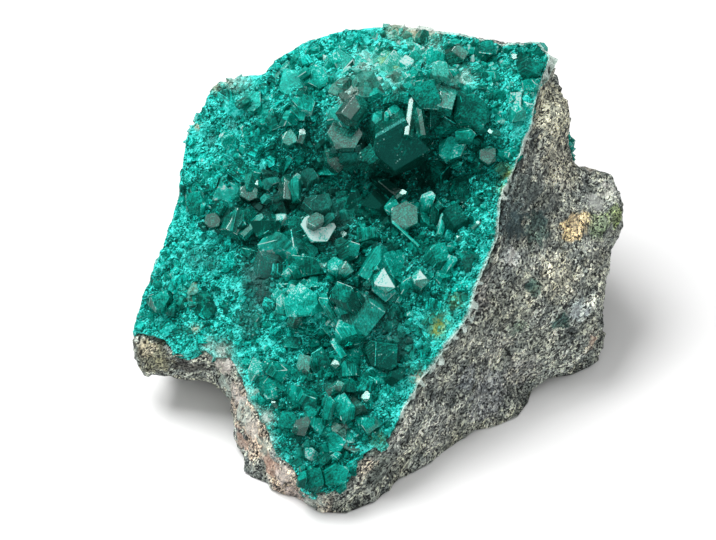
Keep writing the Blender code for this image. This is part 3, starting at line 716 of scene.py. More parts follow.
def ramp(tree, value, *stops):
    """A colour for each value, through (place, colour) stops."""
    made = node(tree, "ShaderNodeValToRGB", {"Fac": value})
    elements = made.color_ramp.elements
    while len(elements) < len(stops):
        elements.new(0.5)
    for element, (place, colour) in zip(elements, stops):
        element.position = place
        element.color = (*colour, 1.0)
    return made.outputs["Color"]


def attribute(tree, name, output="Fac"):
    """What the mesh carries under this name."""
    return node(tree, "ShaderNodeAttribute", attribute_name=name).outputs[output]


def own_place(tree):
    """Object coordinates in millimetres."""
    place = node(tree, "ShaderNodeTexCoord").outputs["Object"]
    made = node(tree, "ShaderNodeMapping", {"Vector": place, "Scale": (1 / MM, 1 / MM, 1 / MM)})
    return made.outputs["Vector"]


def drawn_out(tree, place, along, stretch):
    """The place with everything drawn out `stretch` times along a direction."""
    turn = along.to_track_quat("X", "Z").to_euler()
    made = node(
        tree,
        "ShaderNodeMapping",
        {"Vector": place, "Rotation": turn, "Scale": (stretch, 1.0, 1.0)},
        vector_type="TEXTURE",
    )
    return made.outputs["Vector"]


def cloud(tree, place, size, detail=4.0, roughness=0.6, distortion=0.0):
    """Noise with lumps of about `size` millimetres."""
    made = node(
        tree,
        "ShaderNodeTexNoise",
        {
            "Vector": place,
            "Scale": 1 / size,
            "Detail": detail,
            "Roughness": roughness,
            "Distortion": distortion,
        },
    )
    return made.outputs["Fac"]


def new_group(name, inputs, outputs):
    """An empty shader group with these sockets; gives the tree, its inputs and its output node."""
    tree = bpy.data.node_groups.new(name, "ShaderNodeTree")
    for label, kind, value in inputs:
        socket = tree.interface.new_socket(label, in_out="INPUT", socket_type=kind)
        if value is not None:
            socket.default_value = value
    for label, kind in outputs:
        tree.interface.new_socket(label, in_out="OUTPUT", socket_type=kind)
    given = tree.nodes.new("NodeGroupInput").outputs
    return tree, given, tree.nodes.new("NodeGroupOutput").inputs


def grouped(tree, group, **inputs):
    """A shared group in this tree, with its inputs given by name."""
    return node(tree, "ShaderNodeGroup", inputs, node_tree=group)


# How finely and how far sandy grains wander out of their rows.
GRAIN_WANDER_SCALE = 1.8
GRAIN_WANDER = (0.55, 0.55, 0.55)


def grains_group():
    """Sandy grains of one size: a random value for each grain, and their rounded height."""
    tree, given, out = new_group(
        "sandy grains",
        [("Place", "NodeSocketVector", None), ("Size", "NodeSocketFloat", 0.5)],
        [("Value", "NodeSocketFloat"), ("Height", "NodeSocketFloat")],
    )
    small = maths(tree, "DIVIDE", 1.0, given["Size"])
    wander = node(
        tree,
        "ShaderNodeTexNoise",
        {"Vector": given["Place"], "Scale": GRAIN_WANDER_SCALE, "Detail": 3.0},
    )
    shifted = node(
        tree,
        "ShaderNodeVectorMath",
        {0: wander.outputs["Color"], 1: GRAIN_WANDER},
        operation="MULTIPLY",
    )
    place = node(
        tree,
        "ShaderNodeVectorMath",
        {0: given["Place"], 1: shifted.outputs[0]},
        operation="ADD",
    )
    grains = node(tree, "ShaderNodeTexVoronoi", {"Vector": place.outputs[0], "Scale": small})
    value = node(tree, "ShaderNodeSeparateColor", {"Color": grains.outputs["Color"]})
    height = maths(tree, "SUBTRACT", 1.0, grains.outputs["Distance"])
    tree.links.new(value.outputs[0], out["Value"])
    tree.links.new(height, out["Height"])
    return tree


# How wide a fibre is, in the noise's own value.
FIBRE_WIDTH = 0.045


def fibres_group():
    """A felt of fine fibres: a mask that is 1 along thin winding lines."""
    tree, given, out = new_group(
        "fine fibres",
        [("Place", "NodeSocketVector", None), ("Size", "NodeSocketFloat", 0.8)],
        [("Mask", "NodeSocketFloat")],
    )
    felt = node(
        tree,
        "ShaderNodeTexNoise",
        {
            "Vector": given["Place"],
            "Scale": maths(tree, "DIVIDE", 1.0, given["Size"]),
            "Detail": 3.0,
            "Roughness": 0.6,
            "Distortion": 1.6,
        },
    )
    away = maths(tree, "ABSOLUTE", maths(tree, "SUBTRACT", felt.outputs["Fac"], 0.5))
    tree.links.new(span(tree, away, 0.0, FIBRE_WIDTH, 1.0, 0.0), out["Mask"])
    return tree


# The grain of a patch's ragged outline, and where its mask ends and is full, in radii.
PATCH_GRAIN_SCALE = 0.9
PATCH_ENDS = 1.15
PATCH_FULL = 0.75


def patch_group():
    """A ragged patch of colour round a point: its mask fades out over its edge."""
    tree, given, out = new_group(
        "ragged patch",
        [
            ("Place", "NodeSocketVector", None),
            ("Centre", "NodeSocketVector", None),
            ("Radius", "NodeSocketFloat", 2.0),
            ("Ragged", "NodeSocketFloat", 0.8),
        ],
        [("Mask", "NodeSocketFloat")],
    )
    distance = node(
        tree,
        "ShaderNodeVectorMath",
        {0: given["Place"], 1: given["Centre"]},
        operation="DISTANCE",
    )
    share = maths(tree, "DIVIDE", distance.outputs["Value"], given["Radius"])
    rough = node(
        tree,
        "ShaderNodeTexNoise",
        {"Vector": given["Place"], "Scale": PATCH_GRAIN_SCALE, "Detail": 4.0},
    )
    shifted = span(tree, rough.outputs["Fac"], 0.2, 0.8, -1.0, 1.0)
    total = sum_of(tree, share, times(tree, shifted, given["Ragged"]))
    tree.links.new(span(tree, total, PATCH_ENDS, PATCH_FULL), out["Mask"])
    return tree


def new_finish(name):
    """A new material: its node tree and its Principled shader."""
    made = bpy.data.materials.new(name)
    made.use_nodes = True
    return made, made.node_tree, made.node_tree.nodes["Principled BSDF"]


def set_bump(tree, shader, height, strength, depth):
    """Raises the surface by a height that is `depth` millimetres deep."""
    bump = node(
        tree, "ShaderNodeBump", {"Height": height, "Strength": strength, "Distance": depth * MM}
    )
    tree.links.new(bump.outputs["Normal"], shader.inputs["Normal"])


# ---------------------------------------------------------------- the rock's finish


# Coloured patches of the rock: pixel that shows the middle, radius, colour, strength.
ROCK_PATCHES = [
    ((552, 110), 4.2, (0.74, 0.70, 0.56), 0.7),
    ((562, 84), 1.6, (0.74, 0.70, 0.36), 0.8),
    ((574, 118), 1.6, (0.74, 0.68, 0.42), 0.7),
    ((560, 160), 4.0, (0.66, 0.62, 0.52), 0.6),
    ((590, 170), 2.4, (0.72, 0.66, 0.56), 0.7),
    ((612, 196), 1.8, (0.68, 0.70, 0.66), 0.8),
    ((525, 190), 2.8, (0.11, 0.14, 0.14), 0.85),
    ((545, 205), 2.4, (0.14, 0.16, 0.155), 0.75),
    ((508, 214), 3.6, (0.07, 0.10, 0.105), 0.9),
    ((536, 230), 2.4, (0.08, 0.14, 0.13), 0.85),
    ((570, 231), 1.6, (0.72, 0.56, 0.34), 0.95),
    ((578, 225), 1.7, (0.76, 0.60, 0.38), 0.95),
    ((585, 220), 1.2, (0.80, 0.64, 0.42), 0.9),
    ((598, 225), 1.8, (0.22, 0.30, 0.16), 0.7),
    ((616, 216), 1.6, (0.26, 0.34, 0.12), 0.75),
    ((512, 258), 1.5, (0.66, 0.68, 0.68), 0.8),
    ((560, 276), 3.6, (0.58, 0.55, 0.46), 0.65),
    ((600, 262), 3.0, (0.42, 0.41, 0.36), 0.5),
    ((562, 322), 1.7, (0.06, 0.13, 0.12), 0.9),
    ((535, 288), 1.2, (0.06, 0.13, 0.11), 0.8),
    ((516, 330), 1.6, (0.16, 0.26, 0.20), 0.6),
    ((580, 312), 1.9, (0.50, 0.56, 0.58), 0.8),
    ((480, 292), 2.8, (0.36, 0.33, 0.33), 0.5),
    ((597, 344), 2.0, (0.56, 0.48, 0.40), 0.6),
    ((488, 396), 3.8, (0.30, 0.31, 0.34), 0.7),
    ((470, 378), 2.0, (0.24, 0.26, 0.30), 0.6),
    ((500, 345), 3.0, (0.44, 0.43, 0.41), 0.5),
    ((520, 372), 3.0, (0.36, 0.34, 0.33), 0.5),
    ((440, 430), 3.4, (0.32, 0.32, 0.31), 0.6),
    ((385, 470), 2.6, (0.11, 0.13, 0.12), 0.7),
    ((366, 470), 1.6, (0.60, 0.50, 0.42), 0.6),
    ((150, 360), 3.2, (0.18, 0.17, 0.10), 0.7),
    ((146, 348), 1.6, (0.40, 0.34, 0.26), 0.6),
    ((190, 368), 2.2, (0.07, 0.065, 0.06), 0.8),
    ((238, 405), 3.2, (0.62, 0.50, 0.42), 0.85),
    ((255, 440), 3.0, (0.58, 0.44, 0.36), 0.85),
    ((285, 482), 3.0, (0.55, 0.42, 0.34), 0.8),
    ((315, 508), 2.6, (0.50, 0.42, 0.36), 0.6),
    ((412, 30), 3.2, (0.62, 0.50, 0.34), 0.8),
    ((222, 86), 2.0, (0.60, 0.48, 0.34), 0.8),
]
# Pale coats over its grain, in the same way.
ROCK_COATS = [
    ((222, 362), 2.0, (0.80, 0.74, 0.68), 0.8),
    ((226, 384), 1.6, (0.62, 0.76, 0.68), 0.8),
    ((236, 396), 1.5, (0.86, 0.80, 0.74), 0.7),
    ((243, 414), 1.6, (0.66, 0.78, 0.70), 0.75),
    ((252, 428), 1.5, (0.84, 0.80, 0.72), 0.7),
    ((240, 440), 1.4, (0.66, 0.46, 0.36), 0.6),
    ((262, 446), 1.5, (0.60, 0.72, 0.62), 0.6),
    ((270, 466), 1.6, (0.68, 0.44, 0.34), 0.7),
    ((284, 476), 1.4, (0.84, 0.76, 0.70), 0.7),
    ((296, 494), 1.6, (0.84, 0.72, 0.68), 0.7),
    ((312, 502), 1.6, (0.62, 0.74, 0.68), 0.6),
    ((580, 312), 1.2, (0.60, 0.66, 0.68), 0.6),
    ((566, 324), 0.9, (0.03, 0.09, 0.08), 0.8),
    ((529, 290), 0.7, (0.04, 0.10, 0.09), 0.7),
    ((516, 334), 0.8, (0.08, 0.16, 0.13), 0.6),
    ((518, 226), 1.9, (0.05, 0.10, 0.11), 0.6),
    ((538, 216), 1.6, (0.05, 0.10, 0.10), 0.55),
    ((530, 190), 2.0, (0.10, 0.13, 0.13), 0.45),
    ((552, 200), 1.4, (0.10, 0.12, 0.12), 0.5),
    ((594, 203), 1.3, (0.74, 0.78, 0.74), 0.6),
    ((588, 172), 1.4, (0.78, 0.70, 0.60), 0.5),
    ((595, 341), 0.9, (0.55, 0.36, 0.28), 0.5),
    ((566, 96), 1.1, (0.66, 0.64, 0.34), 0.5),
    ((574, 226), 1.1, (0.80, 0.66, 0.44), 0.5),
    ((512, 258), 0.9, (0.80, 0.80, 0.76), 0.7),
    ((606, 194), 1.2, (0.82, 0.82, 0.74), 0.7),
    ((382, 27), 1.6, (0.80, 0.68, 0.54), 0.6),
    ((424, 32), 1.6, (0.78, 0.64, 0.50), 0.6),
]

ROCK_GRAIN = Vector((0.62, 0.35, 0.70)).normalized()
# The sizes of the rock's fine specks and of its coarser grains.
SPECK_SIZE = 0.21
MOTTLE_SIZE = 0.6
# Colours of the rock's ground, by the level of a drawn-out cloud.
ROCK_COLOURS = (
    (0.34, (0.09, 0.105, 0.105)),
    (0.45, (0.25, 0.27, 0.265)),
    (0.56, (0.42, 0.44, 0.415)),
    (0.68, (0.72, 0.72, 0.67)),
)
# What multiplies the ground in its warmer parts, in its seams and, as painted shade, in its pores.
ROCK_WARMTH = (1.04, 1.0, 0.93, 1.0)
SEAM_SHADE = (0.28, 0.31, 0.32, 1.0)
PAINTED_PORE_SHADE = (0.22, 0.22, 0.22, 1.0)
# What the specks multiply it by, from the few dark ones to the few bright, and what the coarser
# grains do.
SPECK_SHADES = (
    (0.0, (0.02, 0.03, 0.035)),
    (0.27, (0.05, 0.06, 0.065)),
    (0.30, (0.74, 0.79, 0.78)),
    (0.62, (1.1, 1.16, 1.12)),
    (0.65, (2.0, 2.08, 1.96)),
    (1.0, (2.9, 2.98, 2.82)),
)
SPECK_SHARE = 0.9
MOTTLE_SHADES = (
    (0.0, (0.5, 0.53, 0.55)),
    (0.5, (1.0, 1.0, 1.0)),
    (1.0, (1.42, 1.38, 1.27)),
)
MOTTLE_SHARE = 0.85
# How ragged the patches and the coats are.
PATCH_RAGGED = 0.55
COAT_RAGGED = 1.1
ROCK_ROUGHNESS = (0.65, 0.98)
ROCK_GLOSS = 0.35
ROCK_BUMP = 0.4


def stained(tree, colour, marks, patch, place, ragged, rock_tree):
    """Lays ragged patches over a colour, each round the point of the rock its pixel shows."""
    for pixel, radius, paint, strength in marks:
        spot = rock_tree.ray_cast(EYE, ray_through(*pixel))[0]
        if spot is None:
            continue
        mask = grouped(
            tree, patch, Place=place, Centre=tuple(spot), Radius=radius, Ragged=ragged
        )
        share = times(tree, mask.outputs[0], strength)
        colour = blend_colour(tree, share, colour, (*paint, 1.0))
    return colour


def rock_finish(grains, fibres, patch, rock_tree):
    """Granular grey and tan rock with dark specks, pale grains, a drawn-out grain, dark seams,
    pores darkened by painted shade, and stained patches."""
    made, tree, shader = new_finish("granular host rock")
    place = own_place(tree)
    streaked = drawn_out(tree, place, ROCK_GRAIN, 3.5)
    leaned = drawn_out(tree, place, ROCK_GRAIN, 1.3)
    colour = ramp(tree, cloud(tree, streaked, 1.5, 5.0, 0.62), *ROCK_COLOURS)
    warm = span(tree, cloud(tree, place, 5.0, 3.0, 0.5), 0.4, 0.62)
    colour = multiply_colour(tree, warm, colour, ROCK_WARMTH)
    colour = stained(tree, colour, ROCK_PATCHES, patch, place, PATCH_RAGGED, rock_tree)
    fine = grouped(tree, grains, Place=leaned, Size=SPECK_SIZE)
    coarse = grouped(tree, grains, Place=leaned, Size=MOTTLE_SIZE)
    specks = ramp(tree, fine.outputs["Value"], *SPECK_SHADES)
    mottle = ramp(tree, coarse.outputs["Value"], *MOTTLE_SHADES)
    colour = multiply_colour(tree, SPECK_SHARE, colour, specks)
    colour = multiply_colour(tree, MOTTLE_SHARE, colour, mottle)
    colour = stained(tree, colour, ROCK_COATS, patch, place, COAT_RAGGED, rock_tree)
    seams = grouped(tree, fibres, Place=drawn_out(tree, place, ROCK_GRAIN, 2.6), Size=2.4)
    shows = span(tree, cloud(tree, place, 4.5, 3.0, 0.5), 0.42, 0.56, 0.0, 0.75)
    colour = multiply_colour(tree, times(tree, seams.outputs[0], shows), colour, SEAM_SHADE)
    pore = cloud(tree, leaned, 0.3, 3.0, 0.7)
    # The pores are darkened by painted shade.
    colour = multiply_colour(tree, span(tree, pore, 0.42, 0.34), colour, PAINTED_PORE_SHADE)
    tree.links.new(colour, shader.inputs["Base Color"])
    rough = span(tree, coarse.outputs["Value"], 0.0, 1.0, *ROCK_ROUGHNESS)
    tree.links.new(rough, shader.inputs["Roughness"])
    shader.inputs["Specular IOR Level"].default_value = ROCK_GLOSS
    height = sum_of(
        tree,
        times(tree, fine.outputs["Height"], 0.55),
        times(tree, coarse.outputs["Height"], 0.4),
        times(tree, cloud(tree, streaked, 0.5, 6.0, 0.7), 0.8),
        times(tree, span(tree, pore, 0.34, 0.5), 0.5),
    )
    set_bump(tree, shader, height, 1.0, ROCK_BUMP)
    return made


# ---------------------------------------------------------------- dioptase's finishes


# Colours of dioptase from its deepest to its palest: (level, colour), for clear crystals and for
# the cloudy ones and the druse. The clear ones' whitish last stop is a painted highlight.
CLEAR_COLOURS = (
    (0.0, (0.003, 0.06, 0.045)),
    (0.25, (0.004, 0.175, 0.13)),
    (0.5, (0.005, 0.33, 0.255)),
    (0.75, (0.008, 0.54, 0.43)),
    (0.9, (0.028, 0.74, 0.65)),
    (1.0, (0.60, 0.86, 0.82)),
)
CLOUDY_COLOURS = (
    (0.0, (0.003, 0.058, 0.044)),
    (0.25, (0.004, 0.165, 0.126)),
    (0.5, (0.006, 0.35, 0.28)),
    (0.75, (0.006, 0.58, 0.49)),
    (0.9, (0.01, 0.72, 0.635)),
    (1.0, (0.1, 0.86, 0.79)),
)
DIOPTASE_IOR = 1.66
# The colour that is left of white light deep in a crystal.
ABSORBED_TO = (0.0, 0.965, 0.93, 1.0)
# What the facets throw back of the white room, and what those of the glassy crystals do.
REFLECTED = (0.1, 0.79, 0.71, 1.0)
GLASSY_REFLECTED = (0.78, 0.98, 0.94, 1.0)
# Painted sparkles, small pale flecks that stand in for glints: how finely they are strewn, their
# share and their colour.
SPARKLE_SCALE = 1.7
SPARKLE_SHARE = 0.75
SPARKLE_COLOUR = (0.5, 0.9, 0.84, 1.0)
# The grain of the druse.
STREAK = (RIGHT * 0.8 + UP * 0.6).normalized()
# Painted shade and light along a crystal: how far up it the painted shade at its foot fades, and
# how much deeper its foot and paler its tip is painted.
FOOT_SHADE_TIP_LIGHT = (0.4, 1.0, -0.2, 0.1)
# How much shorter the stripes' noise is across a crystal than along it.
STRIPE_SQUEEZE = (1.0, 1.0, 0.06)
# Each finish: its colours; how clear it is and how densely it absorbs per metre; how far its level
# is moved by turquoise fibres, broad veils, fine mottling and stripes; how rough its surface is in
# millimetres; how matt its glossiest and its dullest facets are; how strongly and in what colour
# they throw light back; and how many times the veils are drawn out along the druse's grain.
FINISHES = {
    "clear": dict(
        name="clear emerald dioptase", colours=CLEAR_COLOURS, clear=0.4, density=700.0,
        fibrous=0.2, veiled=0.3, mottled=0.13, striped=0.22, rough_by=0.07,
        matt=(0.02, 0.12), gloss=0.1, reflected=REFLECTED, drawn=1.2,
    ),
    "glassy": dict(
        name="glassy dioptase", colours=CLEAR_COLOURS, clear=0.4, density=700.0,
        fibrous=0.1, veiled=0.34, mottled=0.26, striped=0.2, rough_by=0.05,
        matt=(0.02, 0.1), gloss=0.5, reflected=GLASSY_REFLECTED, drawn=1.2,
    ),
    "cloudy": dict(
        name="cloudy dioptase", colours=CLOUDY_COLOURS, clear=0.2, density=500.0,
        fibrous=0.35, veiled=0.4, mottled=0.3, striped=0.35, rough_by=0.1,
        matt=(0.06, 0.3), gloss=0.12, reflected=REFLECTED, drawn=2.0,
    ),
    "fine": dict(
        name="fine druse", colours=CLOUDY_COLOURS, clear=0.1, density=0.0,
        fibrous=0.6, veiled=0.75, mottled=1.0, striped=0.3, rough_by=0.3,
        matt=(0.12, 0.5), gloss=0.25, reflected=REFLECTED, drawn=2.6,
    ),
}


def dioptase_finish(
    fibres, name, colours, clear, density, fibrous, veiled, mottled, striped, rough_by, matt,
    gloss, reflected, drawn,
):
    """One finish of dioptase from its row in the table."""
    made, tree, shader = new_finish(name)
    place = own_place(tree)
    grown = attribute(tree, "grown", "Vector")
    tone, sheen, raised = [attribute(tree, label) for label in ("tone", "sheen", "raised")]
    veils = cloud(tree, drawn_out(tree, place, STREAK, drawn), 1.4, 5.0, 0.62, 0.7)
    fine = cloud(tree, drawn_out(tree, place, STREAK, 0.6 + 0.4 * drawn), 0.23, 3.0, 0.75)
    lengthwise = node(tree, "ShaderNodeMapping", {"Vector": grown, "Scale": STRIPE_SQUEEZE})
    lines = cloud(tree, lengthwise.outputs["Vector"], 0.2, 2.0, 0.7)
    felt = grouped(tree, fibres, Place=place, Size=0.9).outputs[0]
    threads = times(tree, felt, span(tree, veils, 0.35, 0.7, 0.1, fibrous))
    # Pale flecks strewn over the crystals are painted sparkles that stand in for glints.
    sparkle_cells = node(tree, "ShaderNodeTexVoronoi", {"Vector": place, "Scale": SPARKLE_SCALE})
    sparkle_spots = span(tree, sparkle_cells.outputs["Distance"], 0.2, 0.12)
    painted_sparkles = times(tree, sparkle_spots, span(tree, veils, 0.54, 0.6))
    # The level takes painted shade at the feet of the crystals and painted light at their tips.
    level = sum_of(
        tree,
        tone,
        span(tree, raised, *FOOT_SHADE_TIP_LIGHT),
        span(tree, veils, 0.25, 0.75, -veiled, veiled),
        span(tree, fine, 0.35, 0.65, -mottled, mottled),
        span(tree, lines, 0.35, 0.65, -striped, striped),
        threads,
    )
    colour = ramp(tree, level, *colours)
    colour = blend_colour(tree, times(tree, painted_sparkles, SPARKLE_SHARE), colour, SPARKLE_COLOUR)
    for label, paint in STAINS.items():
        marked = times(tree, attribute(tree, label), span(tree, fine, 0.36, 0.52))
        colour = blend_colour(tree, marked, colour, paint)
    tree.links.new(colour, shader.inputs["Base Color"])
    smear = span(tree, fine, 0.4, 0.7, 0.0, 0.15)
    rough = sum_of(tree, span(tree, sheen, 0.35, 1.0, *matt), smear)
    tree.links.new(rough, shader.inputs["Roughness"])
    shader.inputs["IOR"].default_value = DIOPTASE_IOR
    shader.inputs["Specular IOR Level"].default_value = gloss
    shader.inputs["Specular Tint"].default_value = reflected
    shader.inputs["Transmission Weight"].default_value = clear
    steps = cloud(tree, grown, 1.1, 4.0, 0.6)
    height = sum_of(
        tree,
        times(tree, lines, 0.35),
        steps,
        times(tree, fine, 0.35),
        times(tree, threads, 0.3),
    )
    set_bump(tree, shader, height, 0.7, rough_by)
    if density:
        depth = node(
            tree, "ShaderNodeVolumeAbsorption", {"Color": ABSORBED_TO, "Density": density}
        )
        tree.links.new(depth.outputs["Volume"], tree.nodes["Material Output"].inputs["Volume"])
    return made


# ---------------------------------------------------------------- the crust's edge


# The edge is measured for each degree round the face: how far out it is sought, from how high
# above the face, and how closely it is found.
DEGREES = 360
EDGE_SOUGHT_TO = 60.0
EDGE_SOUGHT_FROM = 30
EDGE_FOUND_WITHIN = 0.05


def rim_reach(crust_tree):
    """How far the crust's edge lies from the middle of the face, for each degree round it."""
    found = []
    for degree in range(DEGREES):
        way = Vector((math.cos(math.radians(degree)), math.sin(math.radians(degree)), 0))
        low, high = 0.0, EDGE_SOUGHT_TO
        while high - low > EDGE_FOUND_WITHIN:
            middle = (low + high) / 2
            start = FACE @ (way * middle + Vector((0, 0, EDGE_SOUGHT_FROM)))
            hit = crust_tree.ray_cast(start, -OUTWARD)[0]
            low, high = (middle, high) if hit else (low, middle)
        found.append(low)
    return found


def seen_rim(solid_rim, crust_tree, rock_tree):
    """The solid crust's rim, drawn in to the edge that the view shows."""
    rim = list(solid_rim)
    places = []
    for pixel in CRUST_EDGE:
        way = ray_through(*pixel)
        spot = crust_tree.ray_cast(EYE, way)[0] or rock_tree.ray_cast(EYE, way)[0]
        if spot:
            u, v, _ = FACE.inverted() @ spot
            places.append((math.degrees(math.atan2(v, u)) % DEGREES, math.hypot(u, v)))
    half = DEGREES / 2
    for (from_angle, from_reach), (to_angle, to_reach) in zip(places, places[1:]):
        gap = (from_angle - to_angle + half) % DEGREES - half
        for step in range(int(abs(gap)) + 2):
            share = min(1.0, step / max(abs(gap), 1e-6))
            degree = round(from_angle - gap * share) % DEGREES
            reach = from_reach + (to_reach - from_reach) * share
            rim[degree] = min(solid_rim[degree], reach)
    return rim


def reach_at(rim, angle):
    """The rim's reach between whole degrees."""
    degree = math.degrees(angle) % DEGREES
    share = degree - int(degree)
    return rim[int(degree)] * (1 - share) + rim[(int(degree) + 1) % DEGREES] * share


def rim_gap(rim, u, v):
    """How far inside the crust's edge a point of the face lies."""
    return reach_at(rim, math.atan2(v, u)) - math.hypot(u, v)


# ---------------------------------------------------------------- the rock


# Relief of the broken rock: (size of a lump, height, how far the grain draws it out).
ROCK_RELIEF = [(3.4, 0.6, 0.6), (1.5, 0.42, 0.5), (0.75, 0.27, 0.2)]
# How far under its crest a fold of the relief's noise has its middle.
RELIEF_MIDDLE = 0.35
PIT_SIZE = 1.9
PIT_DEPTH = 0.8
PIT_LEVEL = 0.3
PIT_SHIFT = Vector((7, 3, 1))
# How the rock is cut finer: (cuts, how far it is softened after them).
ROCK_CUTS = ((1, 0.5), (3, 0.0))
# Points lower than the first value are its flat underside. Others stay above the second one.
UNDERSIDE = 0.01
LOWEST = 0.3
# Within this distance of the crust the relief dies away.
CRUST_REACH = 0.9
# How far below the druse's ground the rock lies where the crust has stopped short, over which width
# that starts, how rough it is, and how deep a hollow it fills.
BARE_DROP = 0.45
BARE_EDGE = 0.9
BARE_ROUGHNESS = 0.5
BARE_FILLS = 4.0
# How much lower still it stays under the druse, from this far inside the edge.
HIDDEN_DROP = 1.2
HIDDEN_EDGE = 1.0
# Knobs on the rock's outline: the pixel they stand at, their radius, and how far they reach to the
# right and up. They die away this near to the crust.
KNOBS = [
    ((557, 112), 2.8, (1.5, 0.1)),
    ((594, 190), 3.4, (1.9, 0.9)),
    ((552, 80), 2.0, (0.5, 0.2)),
]
KNOB_FADE = 2.0


def rock_height(point):
    """How far the rock's grain, ledges and pits stand out at a point."""
    height = 0.0
    for size, rise, drawn in ROCK_RELIEF:
        place = (point - ROCK_GRAIN * point.dot(ROCK_GRAIN) * drawn) / size
        height -= rise * (2 * abs(noise.noise(place)) - RELIEF_MIDDLE)
    pit = noise.noise(point / PIT_SIZE + PIT_SHIFT)
    return height - PIT_DEPTH * max(0.0, pit - PIT_LEVEL)


def host_rock(rock, rock_tree, crust_tree, rim, solid_rim, finish):
    """The rock with its broken, granular surface, raised to the crust's level where the crust
    stops short of its solid. Its flat underside stays flat."""
    to_face = FACE.inverted()
    knobs = [(rock_tree.ray_cast(EYE, ray_through(*pixel))[0], *shape) for pixel, *shape in KNOBS]
    bm = rock.copy()
    for cuts, soften in ROCK_CUTS:
        bmesh.ops.subdivide_edges(bm, edges=bm.edges, cuts=cuts, use_grid_fill=True)
        if soften:
            upper = [v for v in bm.verts if v.co.z > UNDERSIDE]
            bmesh.ops.smooth_vert(
                bm, verts=upper, factor=soften, use_axis_x=True, use_axis_y=True, use_axis_z=True
            )
    bmesh.ops.triangulate(bm, faces=bm.faces)
    bm.normal_update()
    for vertex, normal, above in [(v, v.normal.copy(), v.co.z) for v in bm.verts]:
        if above < UNDERSIDE:
            continue
        rise = rock_height(vertex.co)
        near = crust_tree.find_nearest(vertex.co)[3]
        if near < CRUST_REACH:
            rise = min(rise, 0.0) * near / CRUST_REACH
        vertex.co += normal * rise
        for spot, radius, (right, up) in knobs:
            away = (vertex.co - spot).length_squared / (radius * 2) ** 2
            close = max(0.0, 1.0 - away) ** 2
            vertex.co += (RIGHT * right + UP * up) * close * min(1.0, near / KNOB_FADE)
        u, v, w = to_face @ vertex.co
        ground, gap = relief(u, v), rim_gap(rim, u, v)
        level = ground - BARE_DROP
        if level - BARE_FILLS < w < level and rim_gap(solid_rim, u, v) > 0.0:
            bare = min(1.0, max(0.0, (BARE_EDGE - gap) / BARE_EDGE))
            rough = BARE_ROUGHNESS * rock_height(vertex.co)
            vertex.co += OUTWARD * (level + rough - w) * bare
        elif w > level - HIDDEN_DROP and gap > HIDDEN_EDGE:
            vertex.co += OUTWARD * (level - HIDDEN_DROP - w)
        vertex.co.z = max(vertex.co.z, min(above, LOWEST))
    piece = as_piece(bm, "granular_rock", finish, smooth=True)
    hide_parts("host_rock")


# ---------------------------------------------------------------- the druse bed


BED_CELLS = 210
BED_THICKNESS = 1.3
# How far the bed's edge stays inside the rim, and how far the bed is sunk.
BED_INSET = 0.1
BED_DROP = 0.1
# Roughness of the druse bed: (size of a lump, height).
BED_ROUGHNESS = [(3.0, 0.6), (1.3, 0.4), (0.6, 0.16)]
# How wide the pale line along the crust's right edge is, how sharply it fades, and the pixel
# column it starts at.
PALE_EDGE = 0.62
PALE_FADE = 2
PALE_EDGE_FROM = 400
# How high up a crystal the bed counts as, which paints shade into its lower spots: at its ground,
# for each millimetre over it, and at least.
BED_RAISED = 0.85
RAISED_PER_MM = 0.5
LEAST_RAISED = 0.4


def bed_height(u, v):
    """Height of the rough druse bed over the plane of the face."""
    rough = sum(
        rise * (0.7 - 2.0 * abs(noise.noise(Vector((u, v, size * 9)) / size)))
        for size, rise in BED_ROUGHNESS
    )
    return relief(u, v) + rough


def sort_faces(bm):
    """Orders faces by their corners, because solidify leaves them in another order each run."""
    bm.verts.index_update()
    count = len(bm.verts)

    def order(face):
        corners = [vertex.index for vertex in face.verts]
        return min(corners) * count + max(corners)

    bm.faces.sort(key=order)


def druse_ground(rim, finish):
    """The closed bed of fine druse that the crystals stand in."""
    bm = bmesh.new()
    bmesh.ops.create_grid(bm, x_segments=BED_CELLS, y_segments=BED_CELLS, size=1.0)
    for vertex in bm.verts:
        x, y = vertex.co.x, vertex.co.y
        angle = math.atan2(y, x)
        distance = max(abs(x), abs(y)) * (reach_at(rim, angle) - BED_INSET)
        u, v = distance * math.cos(angle), distance * math.sin(angle)
        vertex.co = FACE @ Vector((u, v, bed_height(u, v) - BED_DROP))
    bmesh.ops.recalc_face_normals(bm, faces=bm.faces)
    if sum((f.normal for f in bm.faces), Vector()).dot(OUTWARD) < 0:
        bmesh.ops.reverse_faces(bm, faces=bm.faces)
    bmesh.ops.solidify(bm, geom=bm.faces[:], thickness=BED_THICKNESS)
    sort_faces(bm)
    layers = [(bm.faces.layers.float.new(label), field) for label, field in ZONED.items()]
    sheen, raised = bm.faces.layers.float.new("sheen"), bm.faces.layers.float.new("raised")
    chance = random.Random(SEED)
    pale, to_face = bm.faces.layers.float["pale"], FACE.inverted()
    for face in bm.faces:
        middle = face.calc_center_median()
        for layer, field in layers:
            face[layer] = field(middle)
        u, v, _ = to_face @ middle
        if pixel_of(middle)[0] > PALE_EDGE_FROM:
            face[pale] = max(face[pale], PALE_FADE * (PALE_EDGE - rim_gap(rim, u, v)))
        face[sheen] = chance.random()
        # Lower spots of the bed take more painted shade.
        height = BED_RAISED + RAISED_PER_MM * (bed_height(u, v) - relief(u, v))
        face[raised] = min(1.0, max(LEAST_RAISED, height))
    piece = as_piece(bm, "druse_bed", finish)
    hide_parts("dioptase_crust")


# ---------------------------------------------------------------- crystals on the bed


ROOT_DEPTH = 1.6
# A crystal's edges are worn by this share of its radius, and by this much at most.
WORN_SHARE = 0.05
WORN_MOST = 0.09
# How many degrees a lone crystal tips and turns from its place, as a spread.
TIPPED = 7
TURNED = 9


